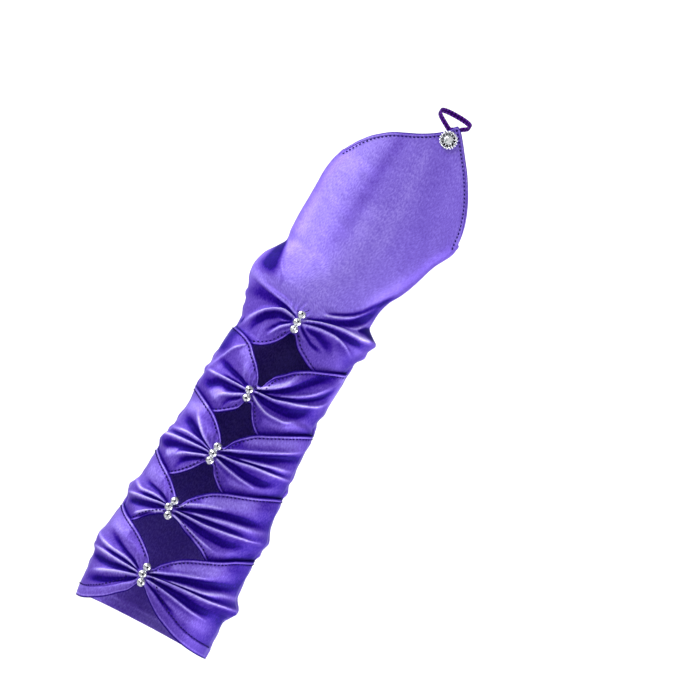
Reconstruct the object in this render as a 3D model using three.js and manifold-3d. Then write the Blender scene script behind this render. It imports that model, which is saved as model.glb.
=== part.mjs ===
// Long fingerless evening glove, left hand, in the form it has when worn.
// Millimetres. +Z runs along the forearm towards the fingers, -Y is the side of the back of the hand,
// +X is the thumb side. The origin is the centre of the wrist.

import * as THREE from 'three';
import Module from 'manifold-3d';
import { mergeVertices } from 'three/addons/utils/BufferGeometryUtils.js';

const wasm = await Module();
wasm.setup();

// Driving dimensions

const FOREARM_LENGTH = 232;
const HAND_LENGTH = 107;
const ARM_HALF_WIDTH = 42;
const ARM_HALF_DEPTH = 40;
const HAND_HALF_WIDTH = 44.5;
const HAND_HALF_DEPTH = 15;
const HAND_SWAY = 7.5;
const BOW_PITCH = 40;

const SATIN_WALL = 1;
const PIECE_GAP = 0.3;
const LAP_GAP = 0.6;
const LAP_DEPTH = 8;
const LAP_RUN = 12;
const COVER_CLEAR = 3;
const THUMB_SEAM_ANGLE = 76;
const LITTLE_SEAM_ANGLE = 84;

const FOLD_RISE = 3.2;
const GATHER_RISE = 2;
const GATHER_RUN = 0.12;
const HEM_WIDTH = 5;

const BEAD_DIAMETER = 4.9;
const BEAD_HOLE = 1.4;

const BUTTON_DIAMETER = 10.8;
const BUTTON_BALL = 2;
const BUTTON_BALLS = 14;
const BUTTON_PLATE = 1.2;
const BUTTON_DROP = 4.5;
const BUTTON_SWAY = 0.8;
const STONE_DIAMETER = 5.2;
const STONE_CROWN = 1;
const STONE_GIRDLE = 0.2;
const STONE_PAVILION = 1.4;
const STONE_TABLE = 3.1;

const LOOP_FINGER_WIDTH = 19;
const LOOP_FINGER_DEPTH = 17;
const LOOP_RIBBON = 2.5;
const LOOP_THICKNESS = 0.9;
const LOOP_RISE = 10.5;
const LOOP_SWAY = 3.2;
const LOOP_THUMB_END = 0.5;
const LOOP_LITTLE_END = 0.05;

// How finely each form is divided

const BAND_STEPS = 11;
const TIP_STEPS = 4;
const PALM_STEPS = 16;
const PALM_ROWS = 22;
const LOOP_STEPS = 32;
const BEAD_SIDES = 10;
const BEAD_RINGS = 5;
const BALL_SIDES = 6;
const BALL_RINGS = 5;
const STONE_SIDES = 10;

// Tables. Each row is one section, hem point, band or fold. Entries are shares of the named sizes.

// Sleeve sections below the wrist: height is a share of FOREARM_LENGTH, little and thumb are shares of
// ARM_HALF_WIDTH, back and palm are shares of ARM_HALF_DEPTH.
const FOREARM_SECTIONS = [
  { height: 0.0, little: 0.89, thumb: 0.80, back: 0.50, palm: 0.51 },
  { height: -0.05, little: 1.04, thumb: 0.75, back: 0.55, palm: 0.55 },
  { height: -0.1, little: 1.05, thumb: 0.87, back: 0.57, palm: 0.55 },
  { height: -0.16, little: 0.91, thumb: 0.83, back: 0.57, palm: 0.55 },
  { height: -0.21, little: 0.87, thumb: 0.79, back: 0.57, palm: 0.56 },
  { height: -0.31, little: 0.93, thumb: 0.79, back: 0.61, palm: 0.63 },
  { height: -0.37, little: 0.94, thumb: 0.77, back: 0.63, palm: 0.68 },
  { height: -0.41, little: 0.94, thumb: 0.81, back: 0.65, palm: 0.71 },
  { height: -0.46, little: 0.92, thumb: 0.82, back: 0.67, palm: 0.74 },
  { height: -0.56, little: 1.01, thumb: 0.86, back: 0.74, palm: 0.82 },
  { height: -0.61, little: 0.98, thumb: 0.89, back: 0.76, palm: 0.85 },
  { height: -0.67, little: 1.01, thumb: 0.97, back: 0.80, palm: 0.89 },
  { height: -0.72, little: 1.05, thumb: 0.94, back: 0.83, palm: 0.92 },
  { height: -0.79, little: 1.04, thumb: 0.95, back: 0.87, palm: 0.96 },
  { height: -0.85, little: 1.11, thumb: 1.05, back: 0.90, palm: 0.98 },
  { height: -0.91, little: 1.03, thumb: 0.98, back: 0.92, palm: 0.99 },
  { height: -1.0, little: 0.98, thumb: 1.0, back: 0.95, palm: 1.0 },
];

// Hand sections above the wrist: height is a share of HAND_LENGTH, little and thumb are shares of
// HAND_HALF_WIDTH either side of the hand's middle, which sways by a share of HAND_SWAY, back and palm
// are shares of HAND_HALF_DEPTH.
const HAND_SECTIONS = [
  { height: 0.06, little: 0.80, thumb: 0.81, sway: 0.06, back: 1.26, palm: 1.30 },
  { height: 0.2, little: 0.88, thumb: 0.88, sway: 0.36, back: 1.14, palm: 1.25 },
  { height: 0.33, little: 0.95, thumb: 0.97, sway: 0.75, back: 1.07, palm: 1.20 },
  { height: 0.45, little: 1.0, thumb: 1.0, sway: 1.0, back: 1.0, palm: 1.05 },
  { height: 1.0, little: 1.0, thumb: 1.0, sway: 1.0, back: 0.97, palm: 0.95 },
];

// Upper hem of the hand panel: across runs from the little-finger seam to the thumb seam, height is a
// share of HAND_LENGTH.
const POINT_HEM = [
  { across: 0.0, height: 0.53 },
  { across: 0.05, height: 0.60 },
  { across: 0.15, height: 0.72 },
  { across: 0.27, height: 0.80 },
  { across: 0.42, height: 0.865 },
  { across: 0.55, height: 0.94 },
  { across: 0.62, height: 1.0 },
  { across: 0.71, height: 0.935 },
  { across: 0.82, height: 0.81 },
  { across: 0.92, height: 0.68 },
  { across: 0.97, height: 0.56 },
  { across: 1.0, height: 0.42 },
];

// Smooth rows of the hand panel, from its upper hem (0) to the top of its gather (1).
const HAND_ROWS = [0, 0.05, 0.18, 0.34, 0.5, 0.66, 0.82, 1];

// Gathered bands, each with a stack of beads. drop is the bow's height as a share of FOREARM_LENGTH and across its place as a share
// of ARM_HALF_WIDTH. The other lengths are shares of BOW_PITCH above or below the bow: the gather's own
// top and bottom, then the two edges where they meet the seams. The curves are exponents of the edges.
const BOWS = [
  {
    node: 'hand_panel', beads: 3, drop: -0.153, across: -0.167, top: 0.15, bottom: -0.16,
    littleTop: 0.96, thumbTop: 1.04, littleBottom: -0.79, thumbBottom: -0.72, topCurve: 1.7, bottomCurve: 0.62,
  },
  {
    node: 'bow_band_2', beads: 2, drop: -0.366, across: -0.276, top: 0.2, bottom: -0.13,
    littleTop: 0.77, thumbTop: 0.95, littleBottom: -0.72, thumbBottom: -1.0, topCurve: 0.55, bottomCurve: 0.65,
  },
  {
    node: 'bow_band_3', beads: 3, drop: -0.534, across: -0.274, top: 0.16, bottom: -0.16,
    littleTop: 0.71, thumbTop: 0.92, littleBottom: -0.88, thumbBottom: -0.93, topCurve: 0.62, bottomCurve: 0.9,
  },
  {
    node: 'bow_band_4', beads: 3, drop: -0.703, across: -0.405, top: 0.14, bottom: -0.11,
    littleTop: 0.65, thumbTop: 0.9, littleBottom: -0.66, thumbBottom: -0.75, topCurve: 0.68, bottomCurve: 1.1,
  },
  {
    node: 'bow_band_5', beads: 3, drop: -0.877, across: -0.298, top: 0.15, bottom: -0.14,
    littleTop: 0.75, thumbTop: 0.94, littleBottom: -0.71, thumbBottom: -0.66, topCurve: 0.7, bottomCurve: 0.6,
  },
];

// Folds that run out of each gather, from a band's upper edge (0) to its lower edge (1). The rises are
// shares of FOLD_RISE on the little-finger side and on the thumb side.
const FOLDS = [
  { at: 0.1, little: 0.35, thumb: 0.4 },
  { at: 0.27, little: 0.8, thumb: 1.0 },
  { at: 0.42, little: 0.5, thumb: 0.5 },
  { at: 0.53, little: 1.0, thumb: 1.0 },
  { at: 0.69, little: 0.9, thumb: 0.8 },
  { at: 0.86, little: 0.45, thumb: 0.5 },
];

// How far a fold stands along its run, from the bow (0) to the seam (1), as a share of its rise.
const FOLD_REACH = [
  { run: 0.0, stand: 0.0 },
  { run: 0.1, stand: 0.3 },
  { run: 0.22, stand: 0.9 },
  { run: 0.35, stand: 1.0 },
  { run: 0.65, stand: 0.55 },
  { run: 1.0, stand: 0.12 },
];

// How far the beads of a stack sway sideways from the top one down, in diameters.
const BEAD_SWAYS = [0.15, -0.15, 0.1];

// Curves and sections

function along(table, key, value, place) {
  const last = table.length - 1;
  const first = table[0][key];
  const turn = table[last][key] >= first ? 1 : -1;
  if ((place - first) * turn <= 0) {
    return table[0][value];
  }
  for (let i = 1; i <= last; i += 1) {
    const low = table[i - 1][key];
    const high = table[i][key];
    if ((place - high) * turn <= 0) {
      const share = (place - low) / (high - low);
      return table[i - 1][value] + (table[i][value] - table[i - 1][value]) * share;
    }
  }
  return table[last][value];
}

function smooth(low, high, value) {
  return THREE.MathUtils.smoothstep(value, low, high);
}

function sectionAt(height) {
  const top = HAND_SECTIONS[0].height * HAND_LENGTH;
  const forearm = (name) => along(FOREARM_SECTIONS, 'height', name, Math.min(height, 0) / FOREARM_LENGTH);
  const hand = (name) => along(HAND_SECTIONS, 'height', name, Math.max(height, top) / HAND_LENGTH);
  const share = THREE.MathUtils.clamp(height / top, 0, 1);
  const blend = (low, high) => THREE.MathUtils.lerp(low, high, share);
  const middle = hand('sway') * HAND_SWAY;
  return {
    little: blend(-forearm('little') * ARM_HALF_WIDTH, middle - hand('little') * HAND_HALF_WIDTH),
    thumb: blend(forearm('thumb') * ARM_HALF_WIDTH, middle + hand('thumb') * HAND_HALF_WIDTH),
    back: blend(forearm('back') * ARM_HALF_DEPTH, hand('back') * HAND_HALF_DEPTH),
    palm: blend(forearm('palm') * ARM_HALF_DEPTH, hand('palm') * HAND_HALF_DEPTH),
  };
}

// A point of the sleeve, at an angle from the middle of the back, with lift measured outwards from the
// inner face of the cloth.
function sleevePoint(angle, height, lift) {
  const section = sectionAt(height);
  const half = (section.thumb - section.little) / 2;
  const middle = (section.thumb + section.little) / 2;
  const depth = Math.cos(angle) > 0 ? section.back : section.palm;
  const normal = new THREE.Vector3(Math.sin(angle) / half, -Math.cos(angle) / depth, 0).normalize();
  const point = new THREE.Vector3(middle + half * Math.sin(angle), -depth * Math.cos(angle), height);
  return point.addScaledVector(normal, lift);
}

function angleOf(across, height) {
  const section = sectionAt(height);
  const half = (section.thumb - section.little) / 2;
  const middle = (section.thumb + section.little) / 2;
  return Math.asin(THREE.MathUtils.clamp((across - middle) / half, -1, 1));
}

const LITTLE_SEAM = -THREE.MathUtils.degToRad(LITTLE_SEAM_ANGLE);
const THUMB_SEAM = THREE.MathUtils.degToRad(THUMB_SEAM_ANGLE);

// Share of the front view's width, from the little-finger seam to the thumb seam.
function acrossShare(angle) {
  return (Math.sin(angle) - Math.sin(LITTLE_SEAM)) / (Math.sin(THUMB_SEAM) - Math.sin(LITTLE_SEAM));
}

// Share of the way from a bow to the seam on the side where the angle lies.
function runFromBow(angle, bowAngle) {
  const seam = angle < bowAngle ? LITTLE_SEAM : THUMB_SEAM;
  return (Math.sin(angle) - Math.sin(bowAngle)) / (Math.sin(seam) - Math.sin(bowAngle));
}

// Bands

function bowHeight(bow) {
  return bow.drop * FOREARM_LENGTH;
}

function bowAngle(bow) {
  return angleOf(bow.across * ARM_HALF_WIDTH, bowHeight(bow));
}

function upperEdge(bow, angle) {
  const run = runFromBow(angle, bowAngle(bow));
  const seam = angle < bowAngle(bow) ? bow.littleTop : bow.thumbTop;
  return bowHeight(bow) + (bow.top + (seam - bow.top) * run ** bow.topCurve) * BOW_PITCH;
}

function lowerHem(bow, angle) {
  const run = runFromBow(angle, bowAngle(bow));
  const seam = angle < bowAngle(bow) ? bow.littleBottom : bow.thumbBottom;
  return bowHeight(bow) + (bow.bottom + (seam - bow.bottom) * run ** bow.bottomCurve) * BOW_PITCH;
}

// The lower edge is the open hem beside the bow, and further out it runs under the next band.
function lowerEdge(index, angle) {
  const hem = lowerHem(BOWS[index], angle);
  const next = BOWS[index + 1];
  return next ? Math.max(hem, upperEdge(next, angle) - LAP_DEPTH) : hem;
}

function foldStand(angle, bow, share) {
  const centre = bowAngle(bow);
  const run = runFromBow(angle, centre);
  const side = angle < centre ? 'little' : 'thumb';
  const nearest = FOLDS.find((fold) => Math.abs(fold.at - share) < 1e-6);
  const rise = nearest ? nearest[side] : 0;
  return rise * FOLD_RISE * along(FOLD_REACH, 'run', 'stand', run);
}

function gatherLift(run) {
  return GATHER_RISE * (1 - smooth(0, GATHER_RUN, run));
}

// Lift of a band's inner face: over the band above at its lapped edge, raised at the gather and on the
// folds, and flat where the next band covers it.
function bandLift(index, angle, share, height, lapped) {
  const bow = BOWS[index];
  const run = runFromBow(angle, bowAngle(bow));
  const below = upperEdge(bow, angle) - height;
  const lap = lapped ? (SATIN_WALL + LAP_GAP) * (1 - smooth(LAP_DEPTH, LAP_DEPTH + LAP_RUN, below)) : 0;
  const gather = gatherLift(run);
  const next = BOWS[index + 1];
  const clear = height - upperEdge(next ?? bow, angle) - COVER_CLEAR;
  const open = next ? smooth(0, HEM_WIDTH, clear) : 1;
  return Math.max(lap, gather) + foldStand(angle, bow, share) * open;
}

// Crest and valley lines of the folds, which are the grid lines of a band.
function foldLines() {
  const lines = [0];
  FOLDS.forEach((fold, i) => {
    if (i > 0) {
      lines.push((FOLDS[i - 1].at + fold.at) / 2);
    }
    lines.push(fold.at);
  });
  lines.push(1);
  return lines;
}

function spread(low, high, steps) {
  return Array.from({ length: steps + 1 }, (_, i) => THREE.MathUtils.lerp(low, high, i / steps));
}

// Two grids of points, an outer and an inner one, closed round their rim into one thin solid.
function shell(columns, rows, outer, inner) {
  const wide = columns.length;
  const tall = rows.length;
  const positions = [];
  for (const place of [outer, inner]) {
    for (const row of rows) {
      for (const column of columns) {
        positions.push(...place(column, row).toArray());
      }
    }
  }
  const at = (layer, i, j) => layer * wide * tall + j * wide + i;
  const faces = [];
  const quad = (a, b, c, d) => faces.push(a, b, c, a, c, d);
  for (let j = 0; j < tall - 1; j += 1) {
    for (let i = 0; i < wide - 1; i += 1) {
      quad(at(0, i, j), at(0, i, j + 1), at(0, i + 1, j + 1), at(0, i + 1, j));
      quad(at(1, i, j), at(1, i + 1, j), at(1, i + 1, j + 1), at(1, i, j + 1));
    }
    quad(at(0, 0, j), at(1, 0, j), at(1, 0, j + 1), at(0, 0, j + 1));
    quad(at(0, wide - 1, j), at(0, wide - 1, j + 1), at(1, wide - 1, j + 1), at(1, wide - 1, j));
  }
  for (let i = 0; i < wide - 1; i += 1) {
    quad(at(0, i, 0), at(0, i + 1, 0), at(1, i + 1, 0), at(1, i, 0));
    quad(at(0, i, tall - 1), at(1, i, tall - 1), at(1, i + 1, tall - 1), at(0, i + 1, tall - 1));
  }
  const geometry = new THREE.BufferGeometry();
  geometry.setAttribute('position', new THREE.Float32BufferAttribute(positions, 3));
  geometry.setIndex(faces);
  geometry.computeVertexNormals();
  return geometry;
}

function bandGeometry(index) {
  const centre = bowAngle(BOWS[index]);
  const left = spread(LITTLE_SEAM, centre, BAND_STEPS);
  const right = spread(centre, THUMB_SEAM, BAND_STEPS + 1).slice(1);
  const place = (wall) => (angle, share) => {
    const height = THREE.MathUtils.lerp(upperEdge(BOWS[index], angle), lowerEdge(index, angle), share);
    return sleevePoint(angle, height, bandLift(index, angle, share, height, true) + wall);
  };
  return shell([...left, ...right], foldLines(), place(SATIN_WALL), place(0));
}

// Hand panel: smooth rows from its point down to the fan line, then the folds of its bow. A row is a
// share from the upper hem (0) to the fan line (1), and past 1 it is a fold line.
function pointHem(angle) {
  return along(POINT_HEM, 'across', 'height', acrossShare(angle)) * HAND_LENGTH;
}

function handPlace(wall) {
  const bow = BOWS[0];
  return (angle, row) => {
    const fan = upperEdge(bow, angle);
    if (row <= 1) {
      return sleevePoint(angle, THREE.MathUtils.lerp(pointHem(angle), fan, row), handLift(angle, row) + wall);
    }
    const height = THREE.MathUtils.lerp(fan, lowerEdge(0, angle), row - 1);
    return sleevePoint(angle, height, bandLift(0, angle, row - 1, height, false) + wall);
  };
}

function handLift(angle, row) {
  return gatherLift(runFromBow(angle, bowAngle(BOWS[0]))) * smooth(0.9, 1, row);
}

function tipAngle() {
  const tip = POINT_HEM.reduce((best, row) => (row.height > best.height ? row : best));
  const low = Math.sin(LITTLE_SEAM);
  return Math.asin(low + tip.across * (Math.sin(THUMB_SEAM) - low));
}

function handGeometry() {
  const centre = bowAngle(BOWS[0]);
  const tip = tipAngle();
  const columns = [
    ...spread(LITTLE_SEAM, centre, BAND_STEPS),
    ...spread(centre, tip, TIP_STEPS).slice(1),
    ...spread(tip, THUMB_SEAM, BAND_STEPS - 1).slice(1),
  ];
  const rows = [...HAND_ROWS, ...foldLines().slice(1).map((line) => 1 + line)];
  return shell(columns, rows, handPlace(SATIN_WALL), handPlace(0));
}

// Palm panel: from the thumb seam round the palm side to the little-finger seam, cut low under the
// thumb, with a straight elbow hem.
function palmGeometry() {
  const last = BOWS.length - 1;
  const straight = (low, high, share) => THREE.MathUtils.lerp(low, high, share);
  const top = (share) => straight(pointHem(THUMB_SEAM), pointHem(LITTLE_SEAM), share)
    - HEM_WIDTH * 2 * Math.sin(Math.PI * share);
  const bottom = (share) => straight(lowerEdge(last, THUMB_SEAM), lowerEdge(last, LITTLE_SEAM), share);
  const place = (wall) => (share, drop) => {
    const height = straight(top(share), bottom(share), drop);
    const section = sectionAt(height);
    const gap = PIECE_GAP / Math.min(section.back, section.palm);
    const angle = straight(THUMB_SEAM + gap, 2 * Math.PI + LITTLE_SEAM - gap, share);
    return sleevePoint(angle, height, wall);
  };
  return shell(spread(0, 1, PALM_STEPS), spread(0, 1, PALM_ROWS), place(SATIN_WALL), place(0));
}

// Beads

function beadGeometry() {
  const radius = BEAD_DIAMETER / 2;
  const hole = BEAD_HOLE / 2;
  const start = Math.asin(hole / radius);
  const profile = spread(start, Math.PI - start, BEAD_RINGS).map(
    (angle) => new THREE.Vector2(radius * Math.sin(angle), -radius * Math.cos(angle)),
  );
  profile.push(profile[0].clone());
  return new THREE.LatheGeometry(profile, BEAD_SIDES);
}

function beadPlace(bow, number) {
  const across = bow.across * ARM_HALF_WIDTH + BEAD_SWAYS[number] * BEAD_DIAMETER;
  const height = bowHeight(bow) + ((bow.top + bow.bottom) / 2) * BOW_PITCH
    + ((bow.beads - 1) / 2 - number) * (BEAD_DIAMETER + PIECE_GAP);
  const lift = GATHER_RISE + SATIN_WALL + PIECE_GAP + BEAD_DIAMETER / 2;
  return sleevePoint(angleOf(across, height), height, lift);
}

// Button

function solidOf(geometry) {
  const bare = geometry.index ? geometry.toNonIndexed() : geometry;
  bare.deleteAttribute('normal');
  bare.deleteAttribute('uv');
  const merged = mergeVertices(bare);
  return new wasm.Manifold(new wasm.Mesh({
    numProp: 3,
    vertProperties: merged.attributes.position.array,
    triVerts: new Uint32Array(merged.index.array),
  }));
}

function geometryOf(solid) {
  const mesh = solid.getMesh();
  const geometry = new THREE.BufferGeometry();
  geometry.setAttribute('position', new THREE.BufferAttribute(mesh.vertProperties, 3));
  geometry.setIndex(new THREE.BufferAttribute(mesh.triVerts, 1));
  geometry.computeVertexNormals();
  return geometry;
}

// The setting's own axis is Y, with its face towards -Y.
function settingGeometry() {
  const ring = (BUTTON_DIAMETER - BUTTON_BALL) / 2;
  const plate = new THREE.CylinderGeometry(ring, ring, BUTTON_PLATE, 2 * BUTTON_BALLS);
  let solid = solidOf(plate);
  for (let i = 0; i < BUTTON_BALLS; i += 1) {
    const turn = (2 * Math.PI * i) / BUTTON_BALLS;
    const ball = new THREE.SphereGeometry(BUTTON_BALL / 2, BALL_SIDES, BALL_RINGS);
    ball.translate(ring * Math.cos(turn), -BUTTON_PLATE / 2, ring * Math.sin(turn));
    solid = solid.add(solidOf(ball));
  }
  return geometryOf(solid);
}

function stoneGeometry() {
  const girdle = STONE_DIAMETER / 2;
  const profile = [
    new THREE.Vector2(0, STONE_PAVILION),
    new THREE.Vector2(girdle, 0),
    new THREE.Vector2(girdle, -STONE_GIRDLE),
    new THREE.Vector2(STONE_TABLE / 2, -STONE_CROWN),
    new THREE.Vector2(0, -STONE_CROWN),
  ].reverse();
  return new THREE.LatheGeometry(profile, STONE_SIDES);
}

// The button's rim lies a drop below the point of the hem, a little to the little finger's side.
function buttonPlace(lift) {
  const height = HAND_LENGTH - BUTTON_DIAMETER / 2 - BUTTON_DROP;
  const tip = sleevePoint(tipAngle(), height, 0);
  return sleevePoint(angleOf(tip.x - BUTTON_SWAY, height), height, SATIN_WALL + PIECE_GAP + lift);
}

// Finger loop: an elliptical ring round the middle finger, open where both ends are sewn under the
// point. It rises from the point towards the palm side.
function loopGeometry() {
  const under = sleevePoint(tipAngle(), HAND_LENGTH - HEM_WIDTH, -PIECE_GAP - LOOP_THICKNESS);
  const turns = spread(LOOP_THUMB_END, 2 * Math.PI - LOOP_LITTLE_END, LOOP_STEPS);
  const place = (out) => (turn, side) => new THREE.Vector3(
    under.x - LOOP_SWAY + (LOOP_FINGER_WIDTH / 2 + out) * Math.sin(turn),
    under.y + LOOP_FINGER_DEPTH / 2 - (LOOP_FINGER_DEPTH / 2 + out) * Math.cos(turn),
    under.z + LOOP_RISE * Math.sin(turn / 2) - (side * LOOP_RIBBON) / 2,
  );
  return shell(turns, [-1, 1], place(LOOP_THICKNESS), place(0));
}

// Assembly

const satin = { color: 0x6a48d0, roughness: 0.38, metalness: 0.1 };
const silver = { color: 0xd9dadd, roughness: 0.2, metalness: 0.9 };
const glass = { color: 0xeef2fa, roughness: 0.05, metalness: 0 };
const elastic = { color: 0x4b1c82, roughness: 0.6, metalness: 0 };

const glove = new THREE.Group();

function addPiece(name, geometry, finish, place) {
  const mesh = new THREE.Mesh(geometry, new THREE.MeshStandardMaterial(finish));
  mesh.name = name;
  if (place) {
    mesh.position.copy(place);
  }
  glove.add(mesh);
}

addPiece('hand_panel', handGeometry(), satin);
for (let i = 1; i < BOWS.length; i += 1) {
  addPiece(BOWS[i].node, bandGeometry(i), satin);
}
addPiece('palm_panel', palmGeometry(), satin);
BOWS.forEach((bow, i) => {
  for (let j = 0; j < bow.beads; j += 1) {
    addPiece(`bow_bead_${i + 1}_${j + 1}`, beadGeometry(), silver, beadPlace(bow, j));
  }
});
addPiece('button_setting', settingGeometry(), silver, buttonPlace(BUTTON_BALL / 2));
addPiece('button_stone', stoneGeometry(), glass, buttonPlace(BUTTON_BALL / 2 + BUTTON_PLATE / 2 + PIECE_GAP
  + STONE_PAVILION));
addPiece('finger_loop', loopGeometry(), elastic);

export default glove;
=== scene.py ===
"""Dresses the long fingerless evening glove: satin panels gathered into beaded bows, with hems, stitches,
a cut-stone button and an elastic finger loop. Lengths are in millimetres until a mesh is made."""

import logging
import math
from collections.abc import Callable
from dataclasses import dataclass
from enum import Enum

import bpy
import numpy as np
from mathutils import Matrix, Vector


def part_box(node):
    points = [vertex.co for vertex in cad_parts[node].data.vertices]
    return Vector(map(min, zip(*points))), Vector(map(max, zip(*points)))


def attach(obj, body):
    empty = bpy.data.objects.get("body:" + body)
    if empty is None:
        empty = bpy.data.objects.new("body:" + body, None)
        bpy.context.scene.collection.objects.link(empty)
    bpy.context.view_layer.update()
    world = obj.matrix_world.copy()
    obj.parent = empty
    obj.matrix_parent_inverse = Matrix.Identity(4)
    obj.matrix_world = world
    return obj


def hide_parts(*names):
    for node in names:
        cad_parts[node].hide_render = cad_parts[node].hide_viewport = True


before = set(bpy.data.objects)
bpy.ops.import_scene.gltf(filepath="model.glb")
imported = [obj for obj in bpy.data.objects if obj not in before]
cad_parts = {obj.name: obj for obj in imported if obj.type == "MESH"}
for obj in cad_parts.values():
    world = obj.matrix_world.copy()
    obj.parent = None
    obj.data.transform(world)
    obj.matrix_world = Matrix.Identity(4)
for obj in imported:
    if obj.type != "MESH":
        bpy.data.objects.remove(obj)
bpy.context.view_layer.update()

LOG = logging.getLogger("evening_glove")
logging.basicConfig(level=logging.INFO, format="%(message)s")

MM = 0.001
BODY = "root"
Piece = bpy.types.Object
Material = bpy.types.Material
Tree = bpy.types.NodeTree
Array = np.ndarray
Edge = Callable[[Array], Array]
Place = tuple[float, float, float]
Stops = tuple[tuple[float, str], ...]
Table = tuple[tuple[float, float], ...]


# Numbers and curves


def srgb(code: str) -> tuple[float, float, float, float]:
    """Turn an sRGB hex value into linear light.

    Args:
        code: six hex digits.

    Returns:
        Red, green, blue in linear light, and an alpha of 1.
    """
    raw = [int(code[i:i + 2], 16) / 255 for i in (0, 2, 4)]
    red, green, blue = (c / 12.92 if c <= 0.04045 else ((c + 0.055) / 1.055) ** 2.4 for c in raw)
    return red, green, blue, 1.0


def ease(low: float, high: float, value: Array) -> Array:
    """Smooth step: 0 below low, 1 above high, and 3t squared less 2t cubed between.

    Args:
        low: where it starts.
        high: where it ends.
        value: places.

    Returns:
        Shares from 0 to 1.
    """
    t = np.clip((value - low) / (high - low), 0.0, 1.0)
    return t * t * (3 - 2 * t)


def curve(places: Array, table: Table) -> Array:
    """Cubic through a table's points, with slopes held so that it never overshoots them.

    Args:
        places: where it is wanted, flat outside the table.
        table: rows of place and value.

    Returns:
        The curve's values, shaped as places.
    """
    rows = np.array(sorted(table), dtype=float)
    knots, values = rows[:, 0], rows[:, 1]
    step = np.diff(knots)
    rate = np.diff(values) / step
    slope = np.empty_like(values)
    slope[0], slope[-1] = rate[0], rate[-1]
    if len(knots) > 2:
        before, after = rate[:-1], rate[1:]
        same = before * after > 0
        safe_before = np.where(same, before, 1.0)
        safe_after = np.where(same, after, 1.0)
        near, far = 2 * step[1:] + step[:-1], step[1:] + 2 * step[:-1]
        slope[1:-1] = np.where(same, (near + far) / (near / safe_before + far / safe_after), 0.0)
    x = np.clip(places, knots[0], knots[-1])
    i = np.clip(np.searchsorted(knots, x, side="right") - 1, 0, len(knots) - 2)
    t = (x - knots[i]) / step[i]
    return (
        values[i] * (1 + 2 * t) * (1 - t) ** 2
        + slope[i] * step[i] * t * (1 - t) ** 2
        + values[i + 1] * t * t * (3 - 2 * t)
        + slope[i + 1] * step[i] * t * t * (t - 1)
    )


def cavity(lift: Array, spacing: Array, reach: float) -> Array:
    """How far each point stands above the mean of its own column within a reach: crests are above 0.

    Args:
        lift: heights on a grid, in mm.
        spacing: the rows' distance in each column, in mm.
        reach: half the length of the mean, in mm.

    Returns:
        lift less its running mean down each column.
    """
    tall, wide = lift.shape
    total = np.vstack([np.zeros((1, wide)), np.cumsum(lift, axis=0)])
    half = np.maximum(np.rint(reach / np.maximum(spacing, 1e-3)), 1).astype(int)[None, :]
    rows, columns = np.arange(tall)[:, None], np.arange(wide)[None, :]
    low, high = np.clip(rows - half, 0, tall - 1), np.clip(rows + half, 0, tall - 1) + 1
    return lift - (total[high, columns] - total[low, columns]) / (high - low)


def unit(vectors: Array) -> Array:
    """Vectors over their own lengths."""
    return vectors / np.maximum(np.linalg.norm(vectors, axis=-1, keepdims=True), 1e-12)


# Meshes


def make_piece(name: str, points: Array, faces: Array, smooth: bool = True) -> Piece:
    """Make an object of points in mm, with its place in its mesh.

    Args:
        name: the piece's name.
        points: n by 3, in mm.
        faces: m by 3 or m by 4 vertex numbers, facing out.
        smooth: whether its faces shade smoothly.

    Returns:
        The object, in the scene.
    """
    mesh = bpy.data.meshes.new(name)
    sides = faces.shape[1]
    mesh.vertices.add(len(points))
    mesh.vertices.foreach_set("co", (points * MM).astype(np.float32).ravel())
    mesh.loops.add(faces.size)
    mesh.loops.foreach_set("vertex_index", faces.astype(np.int32).ravel())
    mesh.polygons.add(len(faces))
    mesh.polygons.foreach_set("loop_start", np.arange(0, faces.size, sides, dtype=np.int32))
    mesh.polygons.foreach_set("use_smooth", np.full(len(faces), smooth))
    mesh.update(calc_edges=True)
    mesh.validate()
    piece = bpy.data.objects.new(name, mesh)
    bpy.context.scene.collection.objects.link(piece)
    return piece


def grid_faces(tall: int, wide: int, ring: bool = False) -> Array:
    """Quads of a grid whose rows run down and whose columns run to the right as seen from outside.

    Args:
        tall: the number of rows.
        wide: the number of columns.
        ring: whether the last column meets the first.

    Returns:
        m by 4 vertex numbers.
    """
    rows, columns = np.meshgrid(np.arange(tall - 1), np.arange(wide if ring else wide - 1), indexing="ij")
    after = (columns + 1) % wide
    here, below = rows * wide, (rows + 1) * wide
    quads = [here + columns, below + columns, below + after, here + after]
    return np.stack([q.ravel() for q in quads], axis=1)


def grid_area(points: Array) -> float:
    """Area of a grid of points in mm, in square metres."""
    across, down = np.diff(points[:-1], axis=1), np.diff(points[:, :-1], axis=0)
    return float(np.linalg.norm(np.cross(across, down), axis=-1).sum()) * MM * MM


def give_values(piece: Piece, name: str, values: Array) -> None:
    """Store one number for each vertex as an attribute.

    Args:
        piece: the object.
        name: the attribute's name.
        values: one number for each vertex.
    """
    layer = piece.data.attributes.new(name, "FLOAT", "POINT")
    layer.data.foreach_set("value", values.astype(np.float32).ravel())


def give_uv(piece: Piece, across: Array, down: Array) -> None:
    """Give a grid its cloth coordinates, in metres along its columns and rows.

    Args:
        piece: the object.
        across: each vertex's distance across the cloth, in mm.
        down: each vertex's distance down the cloth, in mm.
    """
    mesh = piece.data
    corner = np.empty(len(mesh.loops), dtype=np.int32)
    mesh.loops.foreach_get("vertex_index", corner)
    both = np.stack([across.ravel()[corner], down.ravel()[corner]], axis=1) * MM
    layer = mesh.uv_layers.new(name="cloth")
    layer.data.foreach_set("uv", both.astype(np.float32).ravel())


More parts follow.
